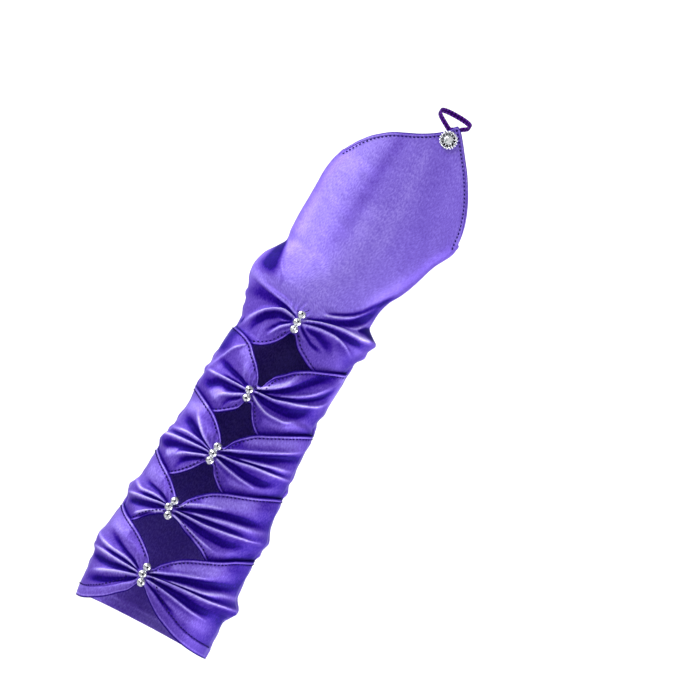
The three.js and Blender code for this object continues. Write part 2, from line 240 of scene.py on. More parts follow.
def repeat(points: Array, faces: Array, places: Array, axes: Array) -> tuple[Array, Array]:
    """Copies of one small mesh, turned into each place's own axes and joined.

    Args:
        points: k by 3, the small mesh's points.
        faces: its faces.
        places: n by 3 origins.
        axes: n by 3 by 3, a row for each of the small mesh's x, y and z axes.

    Returns:
        All the points and all the faces.
    """
    moved = places[:, None, :] + np.einsum("kc,ncd->nkd", points, axes)
    numbers = faces[None, :, :] + (np.arange(len(places)) * len(points))[:, None, None]
    return moved.reshape(-1, 3), numbers.reshape(-1, faces.shape[1])


def joined(parts: list[tuple[Array, Array]]) -> tuple[Array, Array]:
    """Several meshes' points and faces as one mesh's."""
    starts = np.cumsum([0] + [len(points) for points, _ in parts[:-1]])
    faces = [numbers + start for (_, numbers), start in zip(parts, starts)]
    return np.concatenate([points for points, _ in parts]), np.concatenate(faces)


def turned(profile: Array, sides: int) -> tuple[Array, Array]:
    """Turn a closed profile round the Y axis into a ring, its faces outwards.

    Args:
        profile: k by 2 rows of radius and height along Y, going round the section.
        sides: the number of steps round the axis.

    Returns:
        The ring's points and its faces.
    """
    turn = np.linspace(0, 2 * np.pi, sides, endpoint=False)[:, None]
    radius, height = profile[:, 0][None, :], profile[:, 1][None, :]
    points = np.stack(np.broadcast_arrays(radius * np.cos(turn), height, radius * np.sin(turn)), axis=-1)
    wide = len(profile)
    i, j = np.meshgrid(np.arange(sides), np.arange(wide), indexing="ij")
    next_i, next_j = (i + 1) % sides, (j + 1) % wide
    quads = [i * wide + j, next_i * wide + j, next_i * wide + next_j, i * wide + next_j]
    return points.reshape(-1, 3), np.stack([q.ravel() for q in quads], axis=1)


def capsule(length: float, thick: float) -> tuple[Array, Array]:
    """A short round-ended stick along X, for one stitch.

    Args:
        length: its length in mm.
        thick: its diameter in mm.

    Returns:
        Its points and its quads.
    """
    share = np.array([0.0, 0.06, 0.3, 0.7, 0.94, 1.0])
    girth = np.array([0.25, 0.75, 1.0, 1.0, 0.75, 0.25]) * thick / 2
    turn = np.linspace(0, 2 * np.pi, 6, endpoint=False)
    x = (share[:, None] - 0.5) * length + 0 * turn
    points = np.stack([x, girth[:, None] * np.cos(turn), girth[:, None] * np.sin(turn)], axis=-1)
    faces = grid_faces(len(share), len(turn), ring=True)
    return points.reshape(-1, 3), faces


# Materials


def add_node(tree: Tree, kind: str, links: dict[str, bpy.types.NodeSocket] | None = None,
             **settings: object) -> bpy.types.Node:
    """Add a node, set it and link it.

    Args:
        tree: the material's nodes.
        kind: the node's type name.
        links: input name to the output that feeds it.
        settings: properties of the node, or values of its inputs, with spaces written as underscores.

    Returns:
        The node.
    """
    node = tree.nodes.new(kind)
    for name, value in settings.items():
        if hasattr(node, name):
            setattr(node, name, value)
        else:
            node.inputs[name.replace("_", " ")].default_value = value
    for name, source in (links or {}).items():
        tree.links.new(source, node.inputs[int(name) if name.isdigit() else name])
    return node


def new_material(name: str) -> tuple[Material, Tree]:
    """Make an empty node material.

    Args:
        name: the finish's plain name.

    Returns:
        The material and its nodes.
    """
    material = bpy.data.materials.new(name)
    material.use_nodes = True
    material.node_tree.nodes.clear()
    return material, material.node_tree


def set_ramp(node: bpy.types.Node, stops: Stops) -> None:
    """Fill a colour ramp.

    Args:
        node: the ramp's node.
        stops: rows of place and sRGB hex value.
    """
    ramp = node.color_ramp
    while len(ramp.elements) > 1:
        ramp.elements.remove(ramp.elements[-1])
    ramp.elements[0].position = stops[0][0]
    ramp.elements[0].color = srgb(stops[0][1])
    for place, code in stops[1:]:
        ramp.elements.new(place).color = srgb(code)


@dataclass(frozen=True)
class Satin:
    """Polyester satin, woven with long floats that lie one way. They give it a real glossy highlight where it
    faces the light. Its colour is painted light and shade, read from the cloth's painted shading: a ramp
    from painted shade in its folds up to a painted highlight on its crests."""

    name: str = "purple_satin"
    # A ramp of painted light: deep painted shade in the folds up to a pale painted highlight on the crests.
    stops: Stops = (
        (0.0, "16036A"), (0.12, "270A88"), (0.2, "371698"), (0.35, "5034A8"),
        (0.51, "694DC0"), (0.67, "866EDC"), (0.83, "A692F4"), (1.0, "CFC2FE"),
    )
    sheen: str = "B9A8FF"
    glint: str = "B4A2FF"
    roughness: float = 0.42
    float_length: float = 1.8  # Real floats are 0.3 mm long and wouldn't show, so they are drawn longer.
    float_width: float = 0.8
    slub: float = 7.0
    grain_tone: float = 0.5
    slub_tone: float = 0.12

    def build(self) -> Material:
        """Make the material, which reads the cloth's painted shading and its own UV map."""
        material, tree = new_material(self.name)
        painted_shading = add_node(tree, "ShaderNodeAttribute", attribute_name="painted_shading")
        cloth = add_node(tree, "ShaderNodeUVMap", uv_map="cloth")
        floats = add_node(tree, "ShaderNodeMapping", {"Vector": cloth.outputs["UV"]},
                          Scale=(1 / (self.float_width * MM), 1 / (self.float_length * MM), 1))
        grain = add_node(tree, "ShaderNodeTexNoise", {"Vector": floats.outputs["Vector"]},
                         Scale=1.0, Detail=2.0, Roughness=0.6)
        place = add_node(tree, "ShaderNodeTexCoord")
        slub = add_node(tree, "ShaderNodeTexNoise", {"Vector": place.outputs["Object"]},
                        Scale=1 / (self.slub * MM), Detail=3.0, Roughness=0.55)
        fine = add_node(tree, "ShaderNodeMath", {"0": grain.outputs["Fac"]}, operation="MULTIPLY_ADD")
        fine.inputs[1].default_value, fine.inputs[2].default_value = self.grain_tone, -self.grain_tone / 2
        broad = add_node(tree, "ShaderNodeMath", {"0": slub.outputs["Fac"]}, operation="MULTIPLY_ADD")
        broad.inputs[1].default_value, broad.inputs[2].default_value = self.slub_tone, -self.slub_tone / 2
        uneven = add_node(tree, "ShaderNodeMath", {"0": fine.outputs[0], "1": broad.outputs[0]},
                          operation="ADD")
        total = add_node(tree, "ShaderNodeMath", {"0": painted_shading.outputs["Fac"], "1": uneven.outputs[0]},
                         operation="ADD")
        ramp = add_node(tree, "ShaderNodeValToRGB", {"Fac": total.outputs[0]})
        set_ramp(ramp, self.stops)
        bump = add_node(tree, "ShaderNodeBump", {"Height": grain.outputs["Fac"]},
                        Strength=0.18, Distance=0.12 * MM)
        # Less real gloss where the painted shading is dark, so the painted shade dims the reflections too.
        gloss = add_node(tree, "ShaderNodeMapRange", {"Value": painted_shading.outputs["Fac"]},
                         From_Min=0.1, From_Max=0.7, To_Min=0.06, To_Max=0.4)
        slant = add_node(tree, "ShaderNodeLayerWeight", Blend=0.3)
        away = add_node(tree, "ShaderNodeMapRange", {"Value": slant.outputs["Facing"]},
                        From_Min=0.3, From_Max=0.95, To_Min=1.0, To_Max=0.1)
        shine = add_node(tree, "ShaderNodeMath", {"0": gloss.outputs["Result"], "1": away.outputs["Result"]},
                         operation="MULTIPLY")
        shader = add_node(
            tree, "ShaderNodeBsdfPrincipled",
            {"Base Color": ramp.outputs["Color"], "Normal": bump.outputs["Normal"],
             "Specular IOR Level": shine.outputs[0]},
            Roughness=self.roughness, Metallic=0.15, Sheen_Weight=0.02, Sheen_Roughness=0.4,
            Sheen_Tint=srgb(self.sheen), Specular_Tint=srgb(self.glint), Anisotropic=0.35,
        )
        add_node(tree, "ShaderNodeOutputMaterial", {"Surface": shader.outputs["BSDF"]})
        return material


@dataclass(frozen=True)
class Thread:
    """Dark sewing thread, two plies twisted, whose twist shows as fine slanting light and dark."""

    name: str = "sewing_thread"
    dark: str = "16064E"
    light: str = "2C1078"
    twist: float = 5.0  # The real twist is 0.5 mm long and wouldn't show, so it is drawn ten times longer.

    def build(self) -> Material:
        """Make the material."""
        material, tree = new_material(self.name)
        place = add_node(tree, "ShaderNodeTexCoord")
        ply = add_node(tree, "ShaderNodeTexWave", {"Vector": place.outputs["Object"]},
                       bands_direction="DIAGONAL", Scale=1 / (self.twist * MM), Distortion=1.0)
        ramp = add_node(tree, "ShaderNodeValToRGB", {"Fac": ply.outputs["Fac"]})
        set_ramp(ramp, ((0.2, self.dark), (0.8, self.light)))
        bump = add_node(tree, "ShaderNodeBump", {"Height": ply.outputs["Fac"]},
                        Strength=0.3, Distance=0.1 * MM)
        shader = add_node(tree, "ShaderNodeBsdfPrincipled",
                          {"Base Color": ramp.outputs["Color"], "Normal": bump.outputs["Normal"]},
                          Roughness=0.8, Specular_IOR_Level=0.15)
        add_node(tree, "ShaderNodeOutputMaterial", {"Surface": shader.outputs["BSDF"]})
        return material


@dataclass(frozen=True)
class SilverPlate:
    """Bright silver plate over cast metal: mirror-like, a little uneven, and grey where it is rubbed."""

    name: str = "silver_plate"
    bright: str = "F2F3F7"
    rubbed: str = "B9BBC4"
    roughness: float = 0.14
    grain: float = 1.3

    def build(self) -> Material:
        """Make the material."""
        material, tree = new_material(self.name)
        place = add_node(tree, "ShaderNodeTexCoord")
        noise = add_node(tree, "ShaderNodeTexNoise", {"Vector": place.outputs["Object"]},
                         Scale=1 / (self.grain * MM), Detail=4.0)
        ramp = add_node(tree, "ShaderNodeValToRGB", {"Fac": noise.outputs["Fac"]})
        set_ramp(ramp, ((0.35, self.rubbed), (0.55, self.bright)))
        rough = add_node(tree, "ShaderNodeMapRange", {"Value": noise.outputs["Fac"]},
                         To_Min=self.roughness, To_Max=self.roughness * 2)
        bump = add_node(tree, "ShaderNodeBump", {"Height": noise.outputs["Fac"]},
                        Strength=0.08, Distance=0.1 * MM)
        shader = add_node(tree, "ShaderNodeBsdfPrincipled",
                          {"Base Color": ramp.outputs["Color"], "Roughness": rough.outputs["Result"],
                           "Normal": bump.outputs["Normal"]}, Metallic=0.88)
        add_node(tree, "ShaderNodeOutputMaterial", {"Surface": shader.outputs["BSDF"]})
        return material


@dataclass(frozen=True)
class Recess:
    """Tarnished silver at the bottom of the button's setting, with painted shade as well: a dark sheet in the
    deep recess, black on the thumb's side away from the lamp and grey on the side towards it."""

    name: str = "tarnish_and_painted_shade"
    dark: str = "07060B"
    light: str = "B4B8B4"
    # The way the painted shade deepens: towards the thumb's side, away from the lamp.
    way: Place = (0.8, 0.0, -0.6)
    spread: float = 2.6
    patch: float = 1 / 0.7  # mm from one tarnished patch to the next.

    def build(self, middle: Array) -> Material:
        """Make the material: its painted shade deepens along one way across the button, away from the lamp.

        Args:
            middle: the button's middle, in mm.

        Returns:
            The material.
        """
        material, tree = new_material(self.name)
        place = add_node(tree, "ShaderNodeTexCoord")
        along = add_node(tree, "ShaderNodeVectorMath", {"0": place.outputs["Object"]},
                         operation="DOT_PRODUCT")
        along.inputs[1].default_value = self.way
        centre = float(np.dot(middle, self.way))
        # Painted light and shade across the recess: grey towards the lamp, black on the thumb's side away
        # from it.
        rubbed = add_node(tree, "ShaderNodeMapRange", {"Value": along.outputs["Value"]},
                          From_Min=(centre - self.spread) * MM, From_Max=(centre + self.spread * 0.3) * MM,
                          To_Min=0.9, To_Max=0.0)
        noise = add_node(tree, "ShaderNodeTexNoise", {"Vector": place.outputs["Object"]},
                         Scale=1 / (self.patch * MM), Detail=1.0)
        patch = add_node(tree, "ShaderNodeMath", {"0": rubbed.outputs["Result"], "1": noise.outputs["Fac"]},
                         operation="MULTIPLY")
        ramp = add_node(tree, "ShaderNodeValToRGB", {"Fac": patch.outputs[0]})
        set_ramp(ramp, ((0.06, self.dark), (0.4, self.light)))
        shader = add_node(tree, "ShaderNodeBsdfPrincipled", {"Base Color": ramp.outputs["Color"]},
                          Roughness=0.6, Specular_IOR_Level=0.2)
        add_node(tree, "ShaderNodeOutputMaterial", {"Surface": shader.outputs["BSDF"]})
        return material


@dataclass(frozen=True)
class CutGlass:
    """Cut glass backed with foil; a painted glint lightens or darkens each facet as a whole."""

    name: str = "cut_glass"
    # Painted reflections, from a dark facet up to a white glint.
    stops: Stops = ((0.0, "5F6F6A"), (0.3, "A9B5B2"), (0.6, "EEF3F4"), (1.0, "FFFFFF"))
    flaw: float = 1 / 0.9  # mm from one cloudy place to the next.
    flaw_tone: float = 0.2

    def build(self) -> Material:
        """Make the material, which reads each facet's painted glint."""
        material, tree = new_material(self.name)
        glint = add_node(tree, "ShaderNodeAttribute", attribute_name="glint")
        place = add_node(tree, "ShaderNodeTexCoord")
        noise = add_node(tree, "ShaderNodeTexNoise", {"Vector": place.outputs["Object"]},
                         Scale=1 / (self.flaw * MM))
        flaw = add_node(tree, "ShaderNodeMath", {"0": noise.outputs["Fac"]}, operation="MULTIPLY_ADD")
        flaw.inputs[1].default_value, flaw.inputs[2].default_value = self.flaw_tone, -self.flaw_tone / 2
        total = add_node(tree, "ShaderNodeMath", {"0": glint.outputs["Fac"], "1": flaw.outputs[0]},
                         operation="ADD")
        ramp = add_node(tree, "ShaderNodeValToRGB", {"Fac": total.outputs[0]})
        set_ramp(ramp, self.stops)
        shader = add_node(tree, "ShaderNodeBsdfPrincipled", {"Base Color": ramp.outputs["Color"]},
                          Roughness=0.06, Metallic=0.35, IOR=1.6, Coat_Weight=0.5, Coat_Roughness=0.02)
        add_node(tree, "ShaderNodeOutputMaterial", {"Surface": shader.outputs["BSDF"]})
        return material


@dataclass(frozen=True)
class Elastic:
    """Narrow woven elastic, ribbed along its length and matt."""

    name: str = "woven_elastic"
    dark: str = "2A0650"
    light: str = "6C28A8"
    glint: str = "8A50D0"
    rib: float = 7.0  # Real ribs are 0.35 mm apart and wouldn't show, so they are drawn twenty times wider.

    def build(self) -> Material:
        """Make the material, which reads the ribbon's own UV map."""
        material, tree = new_material(self.name)
        cloth = add_node(tree, "ShaderNodeUVMap", uv_map="cloth")
        ribs = add_node(tree, "ShaderNodeTexWave", {"Vector": cloth.outputs["UV"]},
                        bands_direction="Y", Scale=1 / (self.rib * MM), Distortion=0.4)
        picks = add_node(tree, "ShaderNodeTexWave", {"Vector": cloth.outputs["UV"]},
                         bands_direction="X", Scale=1 / (self.rib * MM))
        weave = add_node(tree, "ShaderNodeMath", {"0": ribs.outputs["Fac"], "1": picks.outputs["Fac"]},
                         operation="MULTIPLY")
        ramp = add_node(tree, "ShaderNodeValToRGB", {"Fac": weave.outputs[0]})
        set_ramp(ramp, ((0.1, self.dark), (0.9, self.light)))
        bump = add_node(tree, "ShaderNodeBump", {"Height": weave.outputs[0]}, Strength=0.4, Distance=0.1 * MM)
        shader = add_node(tree, "ShaderNodeBsdfPrincipled",
                          {"Base Color": ramp.outputs["Color"], "Normal": bump.outputs["Normal"]},
                          Roughness=0.7, Specular_IOR_Level=0.12, Specular_Tint=srgb(self.glint))
        add_node(tree, "ShaderNodeOutputMaterial", {"Surface": shader.outputs["BSDF"]})
        return material


@dataclass(frozen=True)
class StudioPaper:
    """Matt white background paper, with a faint tooth."""

    name: str = "studio_paper"
    white: str = "FFFFFF"
    shade: str = "F4F4F6"
    cloud: float = 1000 / 3  # mm from one cloudy place to the next.

    def build(self) -> Material:
        """Make the material."""
        material, tree = new_material(self.name)
        place = add_node(tree, "ShaderNodeTexCoord")
        noise = add_node(tree, "ShaderNodeTexNoise", {"Vector": place.outputs["Object"]},
                         Scale=1 / (self.cloud * MM))
        ramp = add_node(tree, "ShaderNodeValToRGB", {"Fac": noise.outputs["Fac"]})
        set_ramp(ramp, ((0.2, self.shade), (0.8, self.white)))
        shader = add_node(tree, "ShaderNodeBsdfPrincipled", {"Base Color": ramp.outputs["Color"]},
                          Roughness=0.9)
        add_node(tree, "ShaderNodeOutputMaterial", {"Surface": shader.outputs["BSDF"]})
        return material


# The sleeve's form


@dataclass(frozen=True)
class Sleeve:
    """The surface that the worn glove keeps. Its section at each height is two half ellipses, one on the
    back and one on the palm side. Rows are height and size, in mm."""

    little_edge: Table = (
        (107, -33.2), (64, -32.8), (57, -34.6), (50, -35.9), (44, -36.5), (30, -36.5), (10, -36.5),
        (3, -35.5), (-2, -38), (-10.7, -43.4), (-20, -45.2), (-27, -43.4), (-33.6, -41), (-42, -38.4),
        (-48, -36.6), (-54, -36.4), (-58, -38), (-70, -38.7), (-85, -39.3), (-94, -39.8), (-106, -38.4),
        (-116, -39.4), (-125, -40.6), (-131, -42.8), (-137, -41.2), (-149, -41.5), (-154, -41.5),
        (-161, -43.9), (-166, -44.5), (-171, -42.4), (-182, -43.8), (-191, -45.3), (-197, -46.6),
        (-201, -46), (-206, -43.9), (-215, -42.6), (-226, -41.9), (-233, -40.6),
    )
    thumb_edge: Table = (
        (107, 51), (47, 51), (43, 50.7), (40, 49.8), (36.7, 48.2), (31, 45.4), (20, 41.8), (11, 38.4),
        (6, 36.2), (-1, 32.6), (-10, 30.6), (-18, 30.2), (-22, 34), (-25.5, 38), (-29, 37), (-36, 35),
        (-42, 32.6), (-48, 32.2), (-60, 32.2), (-74, 32.2), (-80, 31), (-84, 31), (-88, 32.8), (-92, 32.7),
        (-106, 33.6), (-119, 34.5), (-129, 35.2), (-144, 37), (-149, 38.5), (-155, 40.5), (-161, 39.4),
        (-166, 38.8), (-180, 39.1), (-190, 40), (-198, 45), (-205, 40.4), (-215, 40.4), (-223, 40.9),
        (-233, 41.2),
    )
    back_depth: Table = (
        (107, 14.4), (60, 15), (36, 16), (6.4, 19), (-12, 22), (-25, 22.9), (-46, 22.8), (-72, 24.4),
        (-94, 26), (-119, 29), (-140, 31), (-166, 33.4), (-190, 35.6), (-215, 37.2), (-233, 38),
    )
    palm_depth: Table = (
        (107, 14.2), (60, 15.4), (36, 18), (6, 19.5), (-12, 22), (-48, 22.3), (-72, 25.2), (-94, 28.2),
        (-119, 32), (-140, 34.2), (-166, 36.9), (-190, 38.8), (-215, 39.7), (-233, 40),
    )
    little_seam: float = -math.radians(84)
    thumb_seam: float = math.radians(81)

    def point(self, angle: Array, height: Array, lift: Array) -> Array:
        """A point of the sleeve: across is the middle plus half the width times the sine of the angle,
        depth is minus the section's depth times its cosine, and lift is added along the normal.

        Args:
            angle: radians round from the middle of the back, towards the thumb.
            height: mm along the sleeve.
            lift: mm outwards.

        Returns:
            The points, with x, y and z last.
        """
        angle, height, lift = np.broadcast_arrays(angle, height, lift)
        little, thumb = curve(height, self.little_edge), curve(height, self.thumb_edge)
        half, middle = (thumb - little) / 2, (thumb + little) / 2
        depth = np.where(np.cos(angle) > 0, curve(height, self.back_depth), curve(height, self.palm_depth))
        normal = unit(np.stack([np.sin(angle) / half, -np.cos(angle) / depth, np.zeros_like(half)], axis=-1))
        point = np.stack([middle + half * np.sin(angle), -depth * np.cos(angle), height], axis=-1)
        return point + normal * lift[..., None]

    def across(self, angle: Array, height: Array) -> Array:
        """Where an angle lies across the front view, in mm."""
        return self.point(angle, height, np.zeros(1))[..., 0]

    def angle_at(self, across: float, height: float) -> float:
        """The angle, in radians, of a place across the front view."""
        little, thumb = (float(curve(np.array(height), t)) for t in (self.little_edge, self.thumb_edge))
        return math.asin(max(-1.0, min(1.0, (across - (thumb + little) / 2) / ((thumb - little) / 2))))


SLEEVE = Sleeve()


class Kind(Enum):
    """What a fold is: a crest stands up, and a hollow sinks and is painted darker, as painted shade."""

    CREST = 1
    HOLLOW = -1


@dataclass(frozen=True)
class Fold:
    """One fold of the satin, along a line of the front view that starts at its gather. Its height or depth
    is in mm, its half width goes from start to end along its run, and its painted shading is how much
    lighter it is painted: a painted highlight, and painted shade where it is negative. Its path is rows
    of place across and height, or of height and place across if it is upright."""

    path: Table
    size: float
    start: float
    end: float
    painted_shading: float
    lean: float = 0.0
    kind: Kind = Kind.CREST
    upright: bool = False

    def measure(self, x: Array, z: Array) -> tuple[Array, Array]:
        """Distance from the fold's line and share of its run.

        Args:
            x: places across, in mm.
            z: heights, in mm.

        Returns:
            Signed distance in mm, square to the line, and run from 0 at its start to 1 at its end.
        """
        runs, offs = (z, x) if self.upright else (x, z)
        line = curve(runs, self.path)
        step = 0.3
        slope = (curve(runs + step, self.path) - curve(runs - step, self.path)) / (2 * step)
        distance = (offs - line) / np.sqrt(1 + slope ** 2)
        return distance, (runs - self.path[0][0]) / (self.path[-1][0] - self.path[0][0])

    def stand(self, x: Array, z: Array) -> tuple[Array, Array]:
        """Height and painted shading of the fold: one over 1 plus the squared distance in half widths, to a
        power, times a window along its run. A crest's painted highlight keeps to a thin line, and a hollow's
        painted shade fills it.

        Args:
            x: places across, in mm.
            z: heights, in mm.

        Returns:
            Height from 0 to size in mm, and painted shading.
        """
        distance, run = self.measure(x, z)
        along = np.clip(run, 0, 1)
        window = ease(-0.05, 0.05, run) * (1 - ease(0.7, 1.08, run))
        width = self.start + (self.end - self.start) * along ** 0.8
        swell = 0.5 + 0.5 * np.sin(np.pi * np.clip(run * 1.25, 0, 1) ** 0.7)
        height = self.size * swell * window / (1 + (distance / width) ** 2) ** 1.4
        if self.kind is Kind.CREST:
            return height, self.painted_shading * window * np.exp(-((distance / (0.52 * width)) ** 2))
        return height, self.painted_shading * window * np.exp(-(np.abs(distance / width) ** 2.6))


def crest(path: Table, size: float, end: float, lean: float = 0.2, painted_shading: float = 0.35) -> Fold:
    """A standing fold, with a painted highlight along its crest."""
    return Fold(path, size, 0.9, end, painted_shading, lean)


def hollow(path: Table, size: float, end: float, painted_shading: float = 0.35, upright: bool = False) -> Fold:
    """A sunk fold, with painted shade along its bottom."""
    return Fold(path, size, 0.55, end, -painted_shading, 0.0, Kind.HOLLOW, upright)


def wash(path: Table, start: float, end: float, painted_shading: float, upright: bool = False) -> Fold:
    """A broad place of painted light and shade, where the cloth lies at another slant but hardly rises."""
    return Fold(path, 0.0, start, end, painted_shading, 0.0, Kind.HOLLOW, upright)


@dataclass(frozen=True)
class Gather:
    """A place where thread and beads draw the satin together."""

    x: float
    z: float
    pleats: int = 17
    rise: float = 2.0

    def pleating(self, x: Array, z: Array) -> Array:
        """Fine pleats round the gather: a cosine of the angle about it, tallest at 5 mm and gone by 20.

        Args:
            x: places across, in mm.
            z: heights, in mm.

        Returns:
            Height in mm.
        """
        away = np.hypot(x - self.x, z - self.z)
        turn = np.arctan2(z - self.z, np.abs(x - self.x)) + 0.13 * np.sin(away / 3)
        swell = (away / 5) * np.exp(1 - away / 5)
        return 0.55 * swell * (1 - np.abs(np.sin(self.pleats * turn / 2)) ** 0.7) * ease(0.5, 3, away)


# Satin pieces


@dataclass(frozen=True)
class Cloth:
    """Sizes that all the satin shares, in mm."""

    wall: float = 0.45
    lap_lift: float = 1.5
    under_lap: float = 0.6
    lap_depth: float = 8.0
    lap_run: float = 11.0
    hem: float = 2.2
    hem_rise: float = 0.4
    groove: float = 0.28
    stitch: float = 1.3
    stitch_pitch: float = 2.3
    stitch_thick: float = 0.8
    elbow_hem: float = 7.0
    sleeve_radius: float = 36.0


CLOTH = Cloth()
SEAM_PLACES = 400


def make_cloth(name: str, points: Array, across: Array, z: Array, painted_shading: Array) -> Piece:
    """Make a sheet of satin from a grid of points on its outer face, with its wall inside them.

    Args:
        name: the piece's name.
        points: rows by columns by 3, in mm.
        across: each column's distance across the cloth, in mm.
        z: heights on the grid, in mm.
        painted_shading: how light the satin is painted on the grid, its painted light and shade.

    Returns:
        The piece, without a material.
    """
    piece = make_piece(name, points.reshape(-1, 3), grid_faces(*z.shape))
    give_values(piece, "painted_shading", painted_shading)
    give_uv(piece, np.broadcast_to(across, z.shape), -z)
    wall = piece.modifiers.new("wall", "SOLIDIFY")
    wall.thickness, wall.offset = CLOTH.wall * MM, -1.0
    LOG.info("%s: %d by %d points, %.5f square metres", name, *z.shape, grid_area(points))
    return piece


@dataclass
class Panel:
    """A satin panel on the back of the sleeve, between an upper and a lower edge given across the front
    view, gathered at one place."""

    name: str
    node: str
    gather: Gather
    upper: Table
    lower: Table
    folds: tuple[Fold, ...]
    flat: tuple[float, float]
    area: float
    columns: int = 220
    rows: int = 112
    puff: float = 1.3
    lapped: bool = True
    next_upper: Table | None = None
    lower_hem: float = CLOTH.hem
    # Start level of the painted shading: the folded bands start darker, as painted shade, than the flat hand
    # panel.
    base_tone: float = 0.46
    hem_highlight: float = 0.26
    thumb_shade: float = 0.2
    seed: int = 1

    def upper_edge(self, x: Array) -> Array:
        """Height of the upper edge at a place across."""
        return curve(x, self.upper)

    def lower_edge(self, x: Array) -> Array:
        """Height of the lower edge: the open hem, and outside it a strip under the next panel."""
        hem = curve(x, self.lower)
        if self.next_upper is None:
            return hem
        return np.maximum(hem, curve(x, self.next_upper) - CLOTH.lap_depth)

    def fold_field(self, x: Array, z: Array) -> tuple[Array, Array, Array]:
        """All the folds together: crests as the fourth root of the sum of fourth powers, so that the
        tallest wins and a sharp valley stays between two, less the hollows joined the same way.

        Args:
            x: places across, in mm.
            z: heights, in mm.

        Returns:
            Height in mm, shift along the sleeve in mm, and painted shading.
        """
        tall, deep = np.zeros_like(x), np.zeros_like(x)
        shift, light, dark = np.zeros_like(x), np.zeros_like(x), np.zeros_like(x)
        for fold in self.folds:
            height, painted_shading = fold.stand(x, z)
            if fold.kind is Kind.CREST:
                tall += height ** 4
                shift += fold.lean * height
            else:
                deep += height ** 4
            light += np.maximum(painted_shading, 0.0) ** 2
            dark += np.maximum(-painted_shading, 0.0) ** 2
        painted_shading = np.sqrt(light) - np.sqrt(dark)
        return tall ** 0.25 - deep ** 0.25, shift, painted_shading

    def lift(self, x: Array, z: Array) -> tuple[Array, Array, Array]:
        """The cloth's outer face above its form: its wall, its lap over the panel above, its gather, its
        folds where nothing covers them, and its hems. All but the wall fade out at the two side seams.

        Args:
            x: places across, in mm.
            z: heights, in mm.

        Returns:
            Lift in mm, shift along the sleeve in mm, and painted shading.
        """
        top, bottom = self.upper_edge(x), self.lower_edge(x)
        below, above = top - z, z - bottom
        away = np.hypot(x - self.gather.x, (z - self.gather.z) * 1.6)
        open_share = np.ones_like(x)
        if self.next_upper is not None:
            open_share = ease(0.5, 6.0, z - curve(x, self.next_upper))
        edge_share = ease(-0.5, 4.0, below) * ease(-0.5, 4.0, above)
        folds, shift, painted_shading = self.fold_field(x, z)
        share = np.clip(below / np.maximum(top - bottom, 1), 0, 1)
        dome = self.puff * np.sin(np.pi * share) * ease(4, 18, away)
        gather = self.gather.rise * np.exp(-((away / 7.5) ** 2))
        little, thumb = x - curve(z, SLEEVE.little_edge), curve(z, SLEEVE.thumb_edge) - x
        off_seam = ease(0.1, 2.2, little) * ease(0.3, 2.6, thumb)
        lap = CLOTH.lap_lift * (1 - ease(CLOTH.lap_depth, CLOTH.lap_depth + CLOTH.lap_run, below))
        lap *= 0.1 + 0.9 * ease(0, 9, little)
        lap *= 0.15 + 0.85 * off_seam
        if not self.lapped:
            lap = np.zeros_like(x)
        base = np.maximum(lap, gather)
        relief = np.maximum(folds + dome, -base) + self.gather.pleating(x, z)
        body = relief * open_share * (0.15 + 0.85 * edge_share)
        body = body * off_seam - CLOTH.under_lap * (1 - off_seam) * (1 - open_share)
        hems = self.hems(below, above) * (0.3 + 0.7 * off_seam)
        return CLOTH.wall + base + body + hems, shift * open_share * edge_share, painted_shading * open_share

    def hems(self, below: Array, above: Array) -> Array:
        """Turned hems: a raised strip with a rounded edge, and a groove where it is stitched down."""
        rise = np.zeros_like(below)
        for distance, width in ((below, CLOTH.hem), (above, self.lower_hem)):
            strip = 1 - ease(width - 0.2, width + 0.7, distance)
            rounded = ease(-0.6, 0.7, distance)
            rise += CLOTH.hem_rise * strip * rounded
            rise -= CLOTH.groove * np.exp(-(((distance - width - 0.1) / 0.45) ** 2))
        return rise

    def painted_side_shade(self, x: Array, z: Array) -> Array:
        """Painted shade, deeper towards the thumb, where the satin turns from the lamp."""
        return -self.thumb_shade * (0.5 * ease(-12, 4, x) + 0.5 * ease(22, 38, x))

    def hem_painted_light(self, angle: Array, z: Array) -> Array:
        """Painted light and shade of the hems: a painted highlight along their rolled edge, painted shade at
        the very edge and in the stitched groove, a faint painted highlight across a wide hem, and the painted
        shadow that the next panel's edge casts on this one.

        Args:
            angle: radians round the sleeve.
            z: heights in mm.

        Returns:
            Painted light and shade to add.
        """
        x = SLEEVE.across(angle, z)
        total = np.zeros_like(x)
        hems = ((self.upper_edge(x) - z, CLOTH.hem), (z - curve(x, self.lower), self.lower_hem))
        for distance, width in hems:
            slope = np.abs(np.gradient(distance, axis=0) / np.gradient(z, axis=0))
            distance = distance / np.maximum(slope, 0.6)
            total += self.hem_highlight * np.exp(-(((distance - 1.3) / 0.5) ** 2))
            total -= 0.6 * np.exp(-((distance / 0.7) ** 2))
            total -= 0.12 * np.exp(-(((distance - width) / 0.5) ** 2))
            if width > CLOTH.hem:
                total += 0.07 * ease(0.2, 1.5, distance) * (1 - ease(width - 1.5, width, distance))
        if self.next_upper is not None:
            gap = z - curve(x, self.next_upper)
            total -= 0.35 * np.exp(-np.maximum(gap, 0) / 1.1)
        return total

    def rough(self, x: Array, z: Array) -> Array:
        """Slight unevenness of hand-sewn satin: five crossing sine waves, seeded."""
        rng = np.random.default_rng(self.seed)
        total = np.zeros_like(x)
        for _ in range(5):
            length, turn, phase = rng.uniform(7, 22), rng.uniform(0, np.pi), rng.uniform(0, 6.28)
            total += np.sin((x * math.cos(turn) + z * math.sin(turn)) * 2 * np.pi / length + phase)
        return 0.05 * total

